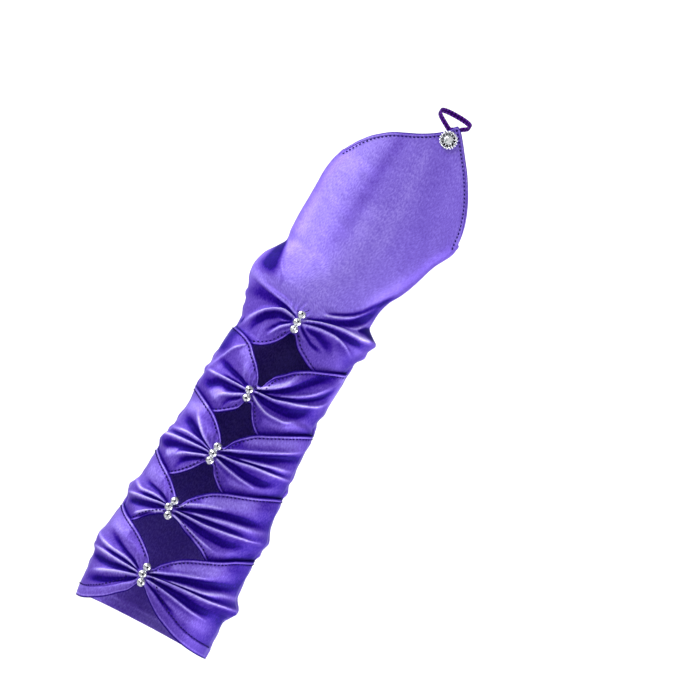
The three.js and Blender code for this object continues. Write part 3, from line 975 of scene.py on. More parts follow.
    def outer(self, angle: Array, z: Array) -> tuple[Array, Array]:
        """Points of the outer face, and its painted shading.

        Args:
            angle: radians round the sleeve.
            z: heights in mm.

        Returns:
            Points in mm and painted shading.
        """
        x = SLEEVE.across(angle, z)
        lift, shift, painted_shading = self.lift(x, z)
        points = SLEEVE.point(angle, z, lift + self.rough(x, z))
        points[..., 2] += shift
        return points, painted_shading

    def settle(self, angle: Array, edge: Edge) -> Array:
        """Height where an edge crosses each angle: the edge is read where the angle lies, five times."""
        z = np.full_like(angle, self.gather.z)
        for _ in range(5):
            z = edge(SLEEVE.across(angle, z))
        return z

    def angles(self) -> Array:
        """Columns from seam to seam, closer together near the gather."""
        centre = SLEEVE.angle_at(self.gather.x, self.gather.z)
        q = np.linspace(-1, 1, self.columns)
        reach = np.where(q < 0, centre - SLEEVE.little_seam, SLEEVE.thumb_seam - centre)
        return centre + np.sign(q) * reach * np.abs(q) ** 1.25

    def shares(self) -> Array:
        """Rows from the upper edge (0) to the lower edge (1)."""
        return np.linspace(0, 1, self.rows)

    def build(self, satin: Material) -> Piece:
        """Make the panel's cloth and dress it.

        Args:
            satin: its material.

        Returns:
            The piece.
        """
        angle = self.angles()
        top, bottom = self.settle(angle, self.upper_edge), self.settle(angle, self.lower_edge)
        z = top + (bottom - top) * self.shares()[:, None]
        grid = np.broadcast_to(angle, z.shape)
        points, painted_shading = self.outer(grid, z)
        place = SLEEVE.across(grid, z)
        lift, _, _ = self.lift(place, z)
        spacing = (top - bottom) / (self.rows - 1)
        # Painted shading: side shade, fold light and shade, hollows darker and crests lighter, then hem
        # light.
        standing = cavity(lift, spacing, 2.2) * 0.30 + cavity(lift, spacing, 6.0) * 0.10
        painted_shading = self.base_tone + self.painted_side_shade(place, z) + painted_shading + np.clip(standing, -0.3, 0.2)
        painted_shading = np.clip(painted_shading + self.hem_painted_light(grid, z), 0.02, 0.98)
        width = np.cumsum(np.abs(np.gradient(angle))) * CLOTH.sleeve_radius
        piece = make_cloth(self.name, points, width, z, painted_shading)
        piece.data.materials.append(satin)
        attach(piece, BODY)
        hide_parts(self.node)
        return piece

    def seam_line(self, edge: Edge, inset: float, low: float, high: float) -> tuple[Array, Array]:
        """A row of places on the outer face, a set distance inside an edge.

        Args:
            edge: the edge's height across.
            inset: mm below the edge, or above it if negative.
            low: the first place across, in mm.
            high: the last place across, in mm.

        Returns:
            Points in mm, and the surface's normals there.
        """
        x = np.linspace(low, high, SEAM_PLACES)
        slope = np.gradient(edge(x), x)
        normal = unit(np.stack([slope, -np.ones_like(x)], axis=-1))
        place = np.stack([x, edge(x)], axis=-1) + normal * inset
        keep = (place[:, 0] > low - 1) & (place[:, 0] < high + 1)
        place = place[keep]
        little, thumb = curve(place[:, 1], SLEEVE.little_edge), curve(place[:, 1], SLEEVE.thumb_edge)
        sine = np.clip((place[:, 0] - (thumb + little) / 2) / ((thumb - little) / 2), -0.999, 0.999)
        angle = np.clip(np.arcsin(sine), SLEEVE.little_seam, SLEEVE.thumb_seam)
        turn, drop = 0.004, 0.15  # A small step each way, to find the normal.
        here, _ = self.outer(angle, place[:, 1])
        right, _ = self.outer(angle + turn, place[:, 1])
        down, _ = self.outer(angle, place[:, 1] - drop)
        return here, unit(np.cross(down - here, right - here))


def run_length(points: Array) -> Array:
    """Length of a line of points from its first point to each of them."""
    return np.concatenate([[0], np.cumsum(np.linalg.norm(np.diff(points, axis=0), axis=1))])


def read_along(at: Array, length: Array, values: Array) -> Array:
    """Values of a line read at other lengths along it.

    Args:
        at: the lengths wanted.
        length: the length at each of the line's points.
        values: n by 3, one row for each of the line's points.

    Returns:
        A row of three for each length wanted.
    """
    return np.stack([np.interp(at, length, column) for column in values.T], axis=1)


def sew(name: str, rows: list[tuple[Array, Array]], thread: Material) -> Piece:
    """Rows of stitches along lines on the cloth: a stick each pitch, partly sunk, joined into one mesh.

    Args:
        name: the piece's name.
        rows: for each row its points and normals.
        thread: the thread's material.

    Returns:
        The piece.
    """
    places, axes = [], []
    step = 0.4  # mm to each side, to find the row's direction.
    for points, normals in rows:
        length = run_length(points)
        count = max(int(length[-1] / CLOTH.stitch_pitch), 2)
        at = (np.arange(count) + 0.5) * length[-1] / count
        spot, up = read_along(at, length, points), unit(read_along(at, length, normals))
        along = unit(read_along(at + step, length, points) - read_along(at - step, length, points))
        side = unit(np.cross(up, along))
        places.append(spot + up * CLOTH.stitch_thick * 0.3)
        axes.append(np.stack([along, side, np.cross(along, side)], axis=1))
    stick, faces = capsule(CLOTH.stitch, CLOTH.stitch_thick)
    points, quads = repeat(stick, faces, np.concatenate(places), np.concatenate(axes))
    piece = make_piece(name, points, quads)
    piece.data.materials.append(thread)
    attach(piece, BODY)
    LOG.info("%s: %d stitches", name, len(points) // len(stick))
    return piece


# Edges and folds of each panel, in mm across and along the front view

POINT_HEM: Table = (
    (-37, 55), (-35, 60), (-32.5, 64), (-28.3, 71), (-23.3, 77.5), (-18.3, 82), (-13.3, 85.7), (-6.7, 89),
    (0, 92.2), (6.7, 96.2), (10.8, 99.2), (14.2, 102.6), (16.6, 106), (17.5, 106.7), (18.6, 106.4),
    (20.8, 104.6), (25, 99.6), (30, 93.1), (35, 86.5), (40, 78.8), (44.2, 71.2), (47.5, 63), (49.7, 55),
    (50.6, 47), (51.5, 40),
)
HAND_LOWER: Table = (
    (-40, -66), (-21.4, -59), (-14.3, -54.3), (-10, -48.6), (-7, -43.2), (-5, -43.4), (0, -48.6), (7, -53),
    (12.9, -56), (40, -64),
)
BAND_2_UPPER: Table = (
    (-39, -54.2), (-30, -55.7), (-23.6, -58.6), (-19.3, -63), (-14.3, -68), (-10.7, -73), (-8.4, -77.5),
    (-6.6, -77.5), (-5, -73), (-2.9, -68.6), (0.7, -65), (5.7, -60), (11.4, -56.4), (20, -52.3),
    (32.5, -46.8),
)
BAND_2_LOWER: Table = (
    (-42, -113), (-22, -103.6), (-16.4, -99.3), (-12.4, -95.4), (-10.6, -90.2), (-7.4, -89.6),
    (-4.3, -94.3), (-0.7, -99.3), (2.6, -102.4), (14, -108), (40, -116),
)
BAND_3_UPPER: Table = (
    (-41, -95), (-33.6, -98), (-28, -100.7), (-22, -104), (-16.4, -108.6), (-12, -113.8), (-9.4, -117.9),
    (-7.8, -117.4), (-5, -112), (-0.7, -107), (4.3, -102.5), (10.7, -99), (20, -93.8), (30.7, -88),
    (36, -86),
)
BAND_3_LOWER: Table = (
    (-44, -157), (-25, -145.6), (-20.7, -141.4), (-16.4, -136), (-12.8, -131), (-9.3, -130.7), (-5, -135.7),
    (-0.7, -139.6), (2.6, -141.8), (14, -147), (42, -156),
)
BAND_4_UPPER: Table = (
    (-43, -136), (-35, -141.4), (-29.3, -145), (-24.3, -148.6), (-20, -152.5), (-16.4, -156.2),
    (-14.8, -158.4), (-13.4, -158), (-10.7, -153), (-6.4, -148), (-1.4, -143.6), (4.3, -140.4),
    (10, -138), (20, -134), (29.3, -129.6), (37, -126.5),
)
BAND_4_LOWER: Table = (
    (-44, -190), (-31.8, -179.4), (-28.6, -175.6), (-25, -172.2), (-20, -168.8), (-13.6, -167.2),
    (-5, -170.7), (4.3, -174.3), (10, -177), (13.4, -179.4), (24, -185), (42, -192),
)
BAND_5_UPPER: Table = (
    (-44, -173), (-38.6, -177), (-33.6, -179.6), (-26.4, -183.2), (-19.3, -188.2), (-14.3, -192.7),
    (-10.9, -197.6), (-9.2, -197.2), (-6.4, -193), (-2.1, -188.6), (4.3, -183.6), (12.9, -179.3), (20, -176),
    (29.3, -170.4), (36.4, -167), (41, -165),
)
BAND_5_LOWER: Table = (
    (-44, -234), (-38, -233.2), (-30, -228.8), (-25, -225), (-20, -220), (-15.7, -215.7), (-12.6, -210),
    (-10.4, -209), (-5, -213), (0, -216.8), (5.7, -220.4), (12.9, -223.6), (20, -226.4), (30.7, -228.6),
    (42, -229.6),
)

# Each fold carries painted light: a crest's painted highlight, a hollow's painted shade, a wash's broad light
# and shade.
HAND_FOLDS: tuple[Fold, ...] = (
    wash(((92, -18), (72, -22), (45, -26), (10, -27), (-24, -24)), 7, 13, 0.11, True),
    wash(((86, -6.6), (62, -8.6), (40, -9), (6, -10)), 3.2, 4.4, -0.11, True),
    wash(((88, 10), (60, 11), (30, 12), (0, 12)), 2.6, 4.6, 0.05, True),
    wash(((44, 0), (20, -4), (-10, -8), (-30, -10)), 9, 16, 0.07, True),
    wash(((96, 14), (60, 26), (10, 34)), 6, 9, -0.05, True),
    hollow(((3.4, -36), (-3, -36.4), (-10, -36.8), (-15, -37), (-20.6, -37)), 2.4, 6.4, 0.9, True),
    crest(((-34.8, -1), (-32, -9), (-26, -18)), 0.6, 1.6, 0.0, 0.12),
    wash(((-32, -8), (-28, -16), (-25, -22)), 0.8, 1.4, -0.14),
    crest(((-9, -32), (-18.6, -29.2), (-30, -27.2), (-45, -22.4)), 1.9, 2.6, -0.2, 0.02),
    hollow(((-9.4, -33.6), (-18, -31.2), (-27, -30.6), (-36, -30.6), (-43, -30)), 1.7, 5.0, 0.5),
    crest(((-9, -35), (-15.7, -34.5), (-21.4, -36.6), (-28, -41.8), (-32, -47.6), (-34.8, -55)),
          3.6, 2.1, 0.5, 0.42),
    hollow(((-10, -36.2), (-17, -37.2), (-22, -39.8), (-27.4, -46), (-30.6, -55)), 2.0, 2.7, 0.66),
    hollow(((-34.2, -49), (-35.6, -53), (-36.8, -57)), 0.8, 1.2, 0.5),
    wash(((-24, -45), (-22.4, -50), (-21, -56)), 2.4, 3.4, 0.08),
    crest(((-9.6, -38.6), (-14.3, -43.4), (-18.6, -50)), 1.8, 1.1, 0.2, 0.3),
    hollow(((-9.8, -37.4), (-15.2, -41), (-20.8, -48.6)), 1.1, 1.2, 0.42),
    crest(((-4.6, -34), (7, -30.2), (17.9, -27.8), (28.6, -26.6), (39, -23.2)), 3.4, 2.2, 0.55, 0.36),
    wash(((4, -29), (18, -26), (30, -24.8)), 1.4, 1.6, 0.08),
    hollow(((-3.4, -34.7), (7, -31.8), (18, -30.4), (28, -30.2), (37, -28.6)), 1.8, 2.6, 0.66),
    crest(((-4, -35.6), (7, -33.2), (14.3, -32.6), (21.9, -34.2), (29, -38)), 2.1, 1.5, 0.3, 0.34),
    hollow(((-4.2, -37), (1, -40.2), (6, -43), (13, -44)), 1.6, 1.3, 0.5),
    hollow(((-1.4, -36.4), (6, -37), (12, -38.4), (19, -40)), 0.8, 3.6, 0.42),
    wash(((18, -34), (26, -38), (32, -44)), 3.0, 6.0, -0.16),
    hollow(((6, -22.8), (14, -18.8), (21, -13.6), (27, -6), (32, 0.4), (37.4, 6)), 1.2, 1.9, 0.56),
    crest(((4, -25), (12, -21.8), (19, -17.4), (25, -10), (31, -1)), 1.6, 1.5, 0.2, 0.1),
    hollow(((-2.6, -31), (8, -27), (17, -23), (23, -17.6), (28.6, -10), (33, -1)), 2.4, 3.2, 0.74),
    crest(((15, -25.6), (23, -22.6), (27, -17.4), (29.6, -10), (31.4, -2)), 1.4, 1.3, 0.0, 0.16),
    hollow(((25, -22.6), (30.6, -20.6), (37, -21.8)), 0.9, 4.2, 0.85),
    hollow(((4, 35), (-3, 33.6), (-8, 32.6), (-16, 31.6)), 0.8, 2.4, 0.4, True),
)
BAND_2_FOLDS: tuple[Fold, ...] = (
    wash(((-55, -35.6), (-64, -35.4), (-74, -39)), 4.8, 3.4, -0.34, True),
    wash(((-26, -64), (-21, -66), (-17, -72)), 3.6, 4.6, 0.2),
    crest(((-25, -61), (-29.6, -66), (-33.4, -73), (-38, -84)), 0.9, 1.5, 0.0, 0.26),
    wash(((-31, -79.6), (-36, -80.2), (-40, -81.6)), 1.8, 2.2, 0.12),
    hollow(((-13.4, -81.4), (-19, -79.6), (-26, -77.6), (-35, -75.6)), 1.3, 2.6, 0.42),
    crest(((-12.6, -83.6), (-22, -84.2), (-38, -84.3)), 2.6, 1.4, 0.4, 0.46),
    hollow(((-13, -82.8), (-20, -82.6), (-29, -82.4)), 0.9, 1.2, 0.36),
    hollow(((-13, -85), (-20, -86.6), (-28, -88), (-33, -90.6), (-38, -91.4)), 1.9, 4.0, 0.5),
    crest(((-12.6, -86.2), (-19.3, -90.2), (-24.4, -93), (-28, -98)), 1.8, 2.2, 0.2, 0.3),
    wash(((-88, -25.6), (-93, -27.4), (-98, -27.6)), 2.6, 3.8, 0.3, True),
    hollow(((-14, -89), (-19, -93.4), (-22, -98)), 0.8, 2.0, 0.24),
    crest(((-8.6, -80), (-2.7, -75.4), (4, -69), (10, -60)), 2.2, 3.4, -0.3, 0.46),
    hollow(((-8, -80.6), (1, -76.4), (8, -70.8), (14, -64), (20, -57.4), (27, -52.6)), 1.8, 3.2, 0.42),
    crest(((5, -77.4), (12, -73.4), (19.6, -67.8), (27, -59)), 1.4, 1.8, 0.2, 0.24),
    hollow(((12, -76.4), (20, -71), (26, -64.6), (30.6, -55)), 0.9, 1.6, 0.34),
    wash(((-50, 30), (-60, 31), (-72, 31.4)), 2.6, 2.6, 0.34, True),
    hollow(((-8, -81.4), (2, -79.9), (9, -77.4), (15, -74.8)), 1.2, 1.5, 0.42),
    crest(((-8.6, -82.2), (0.7, -81.8), (9.3, -79.3), (20, -75.3), (27, -70.7), (31.6, -61)),
          2.6, 1.6, 0.4, 0.46),
    hollow(((-8, -83.3), (2, -84.4), (11, -83.8), (18, -81.4), (24, -77)), 2.0, 3.2, 0.6),
    crest(((-8.4, -84.6), (-2.6, -88), (4.4, -90), (12, -89.6), (20, -85.4)), 2.2, 1.3, 0.2, 0.4),
    wash(((3, -93.6), (12, -93), (24, -86)), 1.8, 3.4, 0.2),
    wash(((20, -76), (27, -80), (33, -84)), 3.0, 5.0, -0.12),
)
BAND_3_FOLDS: tuple[Fold, ...] = (
    wash(((-26, -104), (-32, -105), (-38, -107)), 3.6, 5.0, 0.24),
    wash(((-13, -117.6), (-18, -111.4), (-24, -106)), 0.9, 1.5, -0.12),
    crest(((-13.4, -122.4), (-19.3, -119), (-25.3, -113.2), (-31, -107)), 2.2, 2.2, -0.2, 0.3),
    hollow(((-13.6, -122.8), (-20, -120.4), (-27, -117), (-37, -113.4)), 1.6, 3.8, 0.44),
    crest(((-13.4, -123.6), (-22, -121.5), (-29, -121), (-39, -122.8)), 1.6, 1.4, 0.2, 0.34),
    hollow(((-13.4, -124.2), (-22, -123.7), (-30, -124.1), (-40, -125.2)), 1.3, 1.2, 0.44),
    crest(((-13.8, -124.7), (-26.4, -125.9), (-37, -127.2), (-44, -129)), 2.4, 1.4, 0.3, 0.44),
    hollow(((-14, -125.7), (-22, -127.9), (-30, -130.2), (-37, -132), (-43, -133.6)), 1.7, 3.2, 0.5),
    crest(((-14, -127), (-20.7, -130), (-26.4, -132.6), (-32, -137)), 1.9, 1.5, 0.2, 0.34),
    wash(((-30, -132.6), (-33, -135), (-36, -138)), 1.8, 2.6, 0.34),
    hollow(((-15, -129), (-20, -132), (-25, -136), (-28, -141)), 1.1, 2.4, 0.42),
    wash(((0, -109.4), (12, -103), (32, -94)), 2.2, 4.4, 0.32),
    wash(((-7, -117.4), (-2, -113), (4, -109)), 1.6, 2.0, -0.16),
    crest(((-9, -120.8), (-0.7, -116.6), (9.3, -111.6), (19, -106.2), (31, -98.6)), 2.6, 1.7, 0.3, 0.34),
    hollow(((-8.6, -121.6), (2, -117.8), (12, -113.2), (22, -108), (34, -102)), 1.8, 3.0, 0.34),
    hollow(((6, -117), (14, -113.6), (22, -111.6)), 0.6, 2.2, 0.26),
    crest(((3, -119.6), (12, -117.2), (20, -114.6), (32, -112)), 1.3, 2.2, 0.1, 0.4),
    hollow(((-5, -122), (6, -119.9), (16, -117.9), (29, -115.6)), 0.9, 1.1, 0.36),
    crest(((-9.2, -124), (0.7, -123), (9.3, -121), (20, -119.3), (34, -116.8)), 2.6, 1.5, 0.45, 0.46),
    hollow(((-9, -124.9), (1, -125.5), (10, -126.4), (18, -126.2), (26, -123.8)), 2.1, 2.6, 0.66),
    crest(((-9, -125.9), (-0.7, -128.3), (9.3, -129.8), (18, -130.2)), 2.0, 1.2, 0.2, 0.34),
    wash(((2, -132.6), (12, -134), (26, -130)), 1.8, 3.4, 0.22),
    wash(((24, -122), (30, -123), (36, -124)), 3.0, 5.0, -0.1),
)
BAND_4_FOLDS: tuple[Fold, ...] = (
    wash(((-28, -149), (-34, -150), (-40, -151)), 4.6, 6.0, 0.2),
    hollow(((-19.8, -161.2), (-24, -159), (-30, -157.4), (-38, -156)), 1.1, 1.8, 0.26),
    crest(((-21, -162), (-28, -161.2), (-35.4, -162), (-43, -158)), 2.0, 2.2, 0.2, 0.3),
    hollow(((-19.8, -162.5), (-28, -163), (-36, -164)), 1.2, 1.1, 0.4),
    crest(((-20, -163.2), (-30, -165.2), (-43, -167.4)), 2.4, 1.4, 0.3, 0.44),
    hollow(((-20, -164.4), (-27, -166.8), (-34, -169.4), (-41, -171.6)), 1.8, 2.4, 0.52),
    crest(((-19.4, -166.2), (-26.4, -170.2), (-32, -174.5), (-37, -179)), 1.6, 1.4, 0.2, 0.34),
    hollow(((-24, -170.6), (-28, -174), (-31, -177)), 0.5, 1.3, 0.3),
    wash(((-4, -150), (8, -144.6), (26, -137)), 2.6, 5.4, 0.34),
    wash(((24, -138), (30, -140), (38, -144)), 4.0, 7.0, -0.08),
    crest(((-14.6, -161.4), (-9.3, -156.6), (-0.7, -152.2), (10, -148.2)), 2.2, 1.9, 0.2, 0.32),
    hollow(((-14, -161.9), (-4, -157), (5, -153.4), (15, -150.8), (31, -147.6)), 2.0, 3.0, 0.44),
    crest(((-5, -159.6), (4, -157.8), (13, -155.4), (22, -153.4), (37, -149.8)), 1.9, 3.2, 0.3, 0.36),
    hollow(((-13, -162.5), (0, -160.4), (11, -158.7), (25, -156.6)), 1.2, 1.2, 0.4),
    crest(((-14.4, -163.6), (0.7, -163.2), (12.9, -161.4), (23.6, -159.3), (37, -156)), 2.6, 1.4, 0.45, 0.46),
    hollow(((-13.6, -164.5), (-2, -165.7), (8, -166.4), (16, -166.2), (27, -163.6)), 2.0, 2.4, 0.64),
    crest(((-14, -165.9), (-2.7, -168.9), (7.3, -171.4), (17, -173)), 1.7, 1.3, 0.2, 0.34),
    wash(((2, -172), (14, -175), (28, -171)), 1.4, 3.4, 0.22),
    wash(((22, -163), (30, -164), (38, -166)), 3.4, 5.0, -0.1),
)
BAND_5_FOLDS: tuple[Fold, ...] = (
    wash(((-30, -184.6), (-36, -185.6), (-43, -187)), 4.2, 6.4, 0.2),
    hollow(((-15.8, -201.8), (-22, -198.6), (-30, -195.6), (-41, -190)), 1.2, 2.4, 0.28),
    crest(((-17, -202.4), (-26.4, -199.9), (-34, -199.6), (-41, -198.2), (-47.4, -194)), 2.2, 2.0, 0.2, 0.32),
    hollow(((-15.6, -203), (-26, -202), (-38, -201.6)), 1.2, 1.1, 0.42),
    crest(((-15.6, -203.9), (-26.4, -204.1), (-45, -203.2)), 2.4, 1.4, 0.3, 0.46),
    hollow(((-15.6, -204.8), (-25, -206.6), (-34, -208.2), (-44, -208)), 1.8, 2.5, 0.5),
    crest(((-15, -205.8), (-20.7, -207.7), (-28, -210.8), (-39, -216)), 2.0, 1.6, 0.2, 0.36),
    hollow(((-14.6, -206.8), (-21, -211.4), (-30, -217), (-41, -221.4)), 1.6, 3.0, 0.4),
    wash(((-1, -191.2), (11, -186), (28, -179)), 2.4, 5.0, 0.34),
    wash(((26, -176), (33, -178), (40, -182)), 4.0, 6.0, -0.1),
    crest(((-10, -200.9), (-2, -197), (5.3, -193.4), (13, -190.4), (22, -187)), 2.2, 1.8, 0.2, 0.32),
    hollow(((-9.4, -201.5), (2, -197.4), (12, -193.8), (22, -190.6), (36, -185)), 1.9, 3.2, 0.46),
    crest(((2, -199.8), (12, -198), (21, -196.3), (30, -192.6), (42, -190)), 1.7, 3.0, 0.2, 0.4),
    hollow(((-8.6, -202.2), (4, -200.7), (16, -199), (31, -195.8)), 1.1, 1.2, 0.42),
    crest(((-9.8, -203.2), (0.7, -201.8), (12.9, -200.6), (23.6, -199.8), (34.3, -198), (46, -195.6)),
          2.7, 1.5, 0.45, 0.48),
    hollow(((-9.4, -204), (2, -204.2), (12, -204.6), (22, -205.6), (32, -205)), 2.1, 2.6, 0.66),
    crest(((-9, -205), (0.7, -205.9), (9.3, -207.2), (20, -208.9), (31, -209.6)), 1.9, 1.2, 0.2, 0.34),
    hollow(((-9, -206), (-2, -209), (6, -212), (14, -214.6)), 0.8, 1.1, 0.3),
    wash(((6, -210.6), (20, -213.4), (36, -214)), 1.6, 3.4, 0.2),
    wash(((30, -203), (36, -205), (42, -207)), 3.0, 4.5, -0.12),
)


@dataclass
class HandPanel(Panel):
    """The long pointed panel, with soft upright folds."""

    columns: int = 205
    rows: int = 222
    lapped: bool = False
    puff: float = 0.0
    base_tone: float = 0.67
    hem_highlight: float = 0.04

    def painted_side_shade(self, x: Array, z: Array) -> Array:
        """Painted shade: darker below the gather, and at both sides, where the satin turns away from the
        lamp.
        """
        thumb_side = 1 - ease(0, 9, curve(z, SLEEVE.thumb_edge) - x)
        little_side = 1 - ease(0, 7, x - curve(z, SLEEVE.little_edge))
        turned_away = 0.16 * thumb_side * (1 - ease(44, 50, z)) + 0.12 * little_side * ease(-6, 4, z)
        return -0.03 * ease(30, 40, x) - turned_away - 0.19 * (1 - ease(-37, -29, z))

    def shares(self) -> Array:
        """Rows, closer at the hem and across the gather."""
        return curve(np.linspace(0, 1, self.rows), ((0.0, 0.0), (0.07, 0.022), (0.42, 0.52), (1.0, 1.0)))

    def rough(self, x: Array, z: Array) -> Array:
        """Soft upright folds, fading out near the point, on top of the plain unevenness."""
        upright = 0.5 * np.sin((x + 0.06 * z) / 9.5 + 1.0) + 0.3 * np.sin((x - 0.12 * z) / 6.1)
        return super().rough(x, z) * 0.6 + upright * ease(-25, 25, z) * (1 - ease(60, 100, z)) * 0.4


# The underside beyond the seams, where the satin is stretched smooth.
STRETCHED = Sleeve(
    little_edge=(
        (107, -33.2), (50, -36), (0, -37.5), (-40, -38), (-80, -38.5), (-120, -39.5), (-160, -42),
        (-233, -42),
    ),
    thumb_edge=(
        (107, 51), (47, 51), (31, 45.4), (11, 38.4), (-10, 33), (-40, 32.4), (-80, 32), (-120, 34.6),
        (-160, 39), (-233, 41),
    ),
)


@dataclass
class PalmPanel:
    """The plain underside, from the palm hem to the elbow hem, joined to the back at two seams."""

    name: str = "satin_palm"
    node: str = "palm_panel"
    top_dip: float = 10.0
    seam_gap: float = 0.25
    allowance: float = 2.0
    tuck: float = 1.3
    breadth: float = 120.0
    base_tone: float = 0.54
    gathers: tuple[float, ...] = (-35.0, -84.0, -124.0, -163.0, -203.5)
    columns: int = 170
    rows: int = 190

    def build(self, satin: Material) -> Piece:
        """Make the panel: rows run straight from hem to hem, with short creases fanning from the seams
        beside each gather. The edge at each seam is tucked in under the back panels.

        Args:
            satin: its material.

        Returns:
            The piece.
        """
        share = np.concatenate([[0, 0], np.linspace(0, 1, self.columns), [1, 1]])
        inward = np.zeros_like(share)
        inward[:2], inward[-2:] = (-self.allowance, -self.seam_gap), (self.seam_gap, self.allowance)
        seams = np.array([SLEEVE.thumb_seam, SLEEVE.little_seam])
        tops = PANELS[0].settle(seams, PANELS[0].upper_edge)
        bottoms = PANELS[-1].settle(seams, PANELS[-1].lower_edge)
        top = np.interp(share, (0, 1), tops) - self.top_dip * np.sin(np.pi * share)
        bottom = np.interp(share, (0, 1), bottoms)
        z = top + (bottom - top) * np.linspace(0, 1, self.rows)[:, None]
        gap = self.seam_gap / curve(z, SLEEVE.back_depth)
        first, last = SLEEVE.thumb_seam + gap, 2 * np.pi + SLEEVE.little_seam - gap
        angle = first + (last - first) * share + inward / curve(z, SLEEVE.back_depth)
        at_side = ease(0, 0.08, share) * ease(0, 0.08, 1 - share)
        drape = self.drape(share, z)
        lift = CLOTH.wall + self.creases(share, z) + self.hems(top - z, z - bottom) * (0.3 + 0.7 * at_side)
        lift = lift + drape - self.tuck * (inward != 0)
        away = ease(0.06, 0.3, share) * ease(0.06, 0.3, 1 - share)
        points = SLEEVE.point(angle, z, lift) * (1 - away[:, None])
        points = points + STRETCHED.point(angle, z, lift) * away[:, None]
        spacing = (top - bottom) / (self.rows - 1)
        # Painted shading: hollows darker, crests and drape rises lighter, and painted shade by the seams
        # below the wrist.
        painted_shading = self.base_tone + np.clip(cavity(lift, spacing, 5.0) * 0.25, -0.25, 0.25) + 0.12 * drape
        thumb_seam_shade, little_seam_shade = np.exp(-((share / 0.13) ** 2)), np.exp(-(((1 - share) / 0.13) ** 2))
        painted_shading = painted_shading - (1 - ease(-42, -22, z)) * (0.2 * thumb_seam_shade + 0.1 * little_seam_shade)
        piece = make_cloth(self.name, points, share * self.breadth, z, painted_shading)
        piece.data.materials.append(satin)
        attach(piece, BODY)
        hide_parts(self.node)
        return piece

    def creases(self, share: Array, z: Array) -> Array:
        """Short creases beside each gather: a cosine across the sleeve that fades away from the seams."""
        total = 0.28 * np.sin(z / 9 + 5 * share) * np.sin(7 * share - z / 37)
        total = total + 0.2 * np.sin(z / 5.3 - 9 * share)
        for level in self.gathers:
            for seam, sign in ((0.0, 1.0), (1.0, -1.0)):
                run = (share - seam) * sign
                fan = (z - level) / (6 + 60 * run)
                fade = np.exp(-((run / 0.16) ** 2)) * np.exp(-((fan / 1.3) ** 2))
                total = total + 0.9 * fade * np.cos(fan * 5.2)
        return total * ease(0, 0.03, share) * ease(0, 0.03, 1 - share)

    def drape(self, share: Array, z: Array) -> Array:
        """Long soft folds of slack satin along the underside: slow waves across the sleeve that wander
        and swell along it, and a few shallow rings near its narrowest place."""
        middle = np.exp(-(((share - 0.5) / 0.24) ** 2))
        along = np.sin(2 * np.pi * (3.1 * share + z / 210)) * (0.6 + 0.4 * np.sin(z / 41 + 2))
        across = np.sin(2 * np.pi * (z / 17 + 0.9 * np.sin(4 * share))) * np.exp(-(((z + 24) / 22) ** 2))
        return middle * (0.8 * along + 0.5 * across)

    def hems(self, below: Array, above: Array) -> Array:
        """Turned hems at the palm and at the elbow."""
        rise = np.zeros_like(below)
        for distance, width in ((below, CLOTH.hem), (above, CLOTH.elbow_hem)):
            rise += CLOTH.hem_rise * (1 - ease(width - 0.2, width + 0.7, distance))
            rise -= CLOTH.groove * np.exp(-(((distance - width - 0.1) / 0.6) ** 2))
        return rise


PANELS: tuple[Panel, ...] = (
    HandPanel("satin_hand", "hand_panel", Gather(-6.9, -35.6), POINT_HEM, HAND_LOWER, HAND_FOLDS,
              (0.115, 0.172), 0.0134, next_upper=BAND_2_UPPER, seed=3),
    Panel("satin_band_2", "bow_band_2", Gather(-10.6, -83.6), BAND_2_UPPER, BAND_2_LOWER, BAND_2_FOLDS,
          (0.115, 0.060), 0.0046, next_upper=BAND_3_UPPER, seed=5),
    Panel("satin_band_3", "bow_band_3", Gather(-11.8, -124), BAND_3_UPPER, BAND_3_LOWER, BAND_3_FOLDS,
          (0.125, 0.062), 0.0046, next_upper=BAND_4_UPPER, seed=7, base_tone=0.48, thumb_shade=0.25),
    Panel("satin_band_4", "bow_band_4", Gather(-17.2, -163), BAND_4_UPPER, BAND_4_LOWER, BAND_4_FOLDS,
          (0.135, 0.062), 0.0046, next_upper=BAND_5_UPPER, seed=11, base_tone=0.465, thumb_shade=0.24),
    Panel("satin_band_5", "bow_band_5", Gather(-12.6, -203.4), BAND_5_UPPER, BAND_5_LOWER, BAND_5_FOLDS,
          (0.142, 0.066), 0.0056, lower_hem=CLOTH.elbow_hem, seed=13, base_tone=0.49, thumb_shade=0.27),
)


# Beads, button and loop


def box_middle(node: str) -> tuple[Array, Array]:
    """Middle and size of a CAD node, in mm.

    Args:
        node: its name.

    Returns:
        The middle and the lengths of its box.
    """
    low, high = (np.array(corner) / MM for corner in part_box(node))
    return (low + high) / 2, high - low


BEADS: tuple[tuple[tuple[float, float], ...], ...] = (
    ((-6.9, -30.6), (-7.2, -35.6), (-6.7, -40.0)), ((-12.0, -82.4), (-11.1, -87.2)),
    ((-11.7, -119.4), (-12.2, -124.0), (-11.7, -128.4)), ((-17.6, -158.2), (-18.9, -162.8), (-17.0, -167.2)),
    ((-12.9, -198.4), (-13.1, -203.1), (-11.6, -207.6)),
)


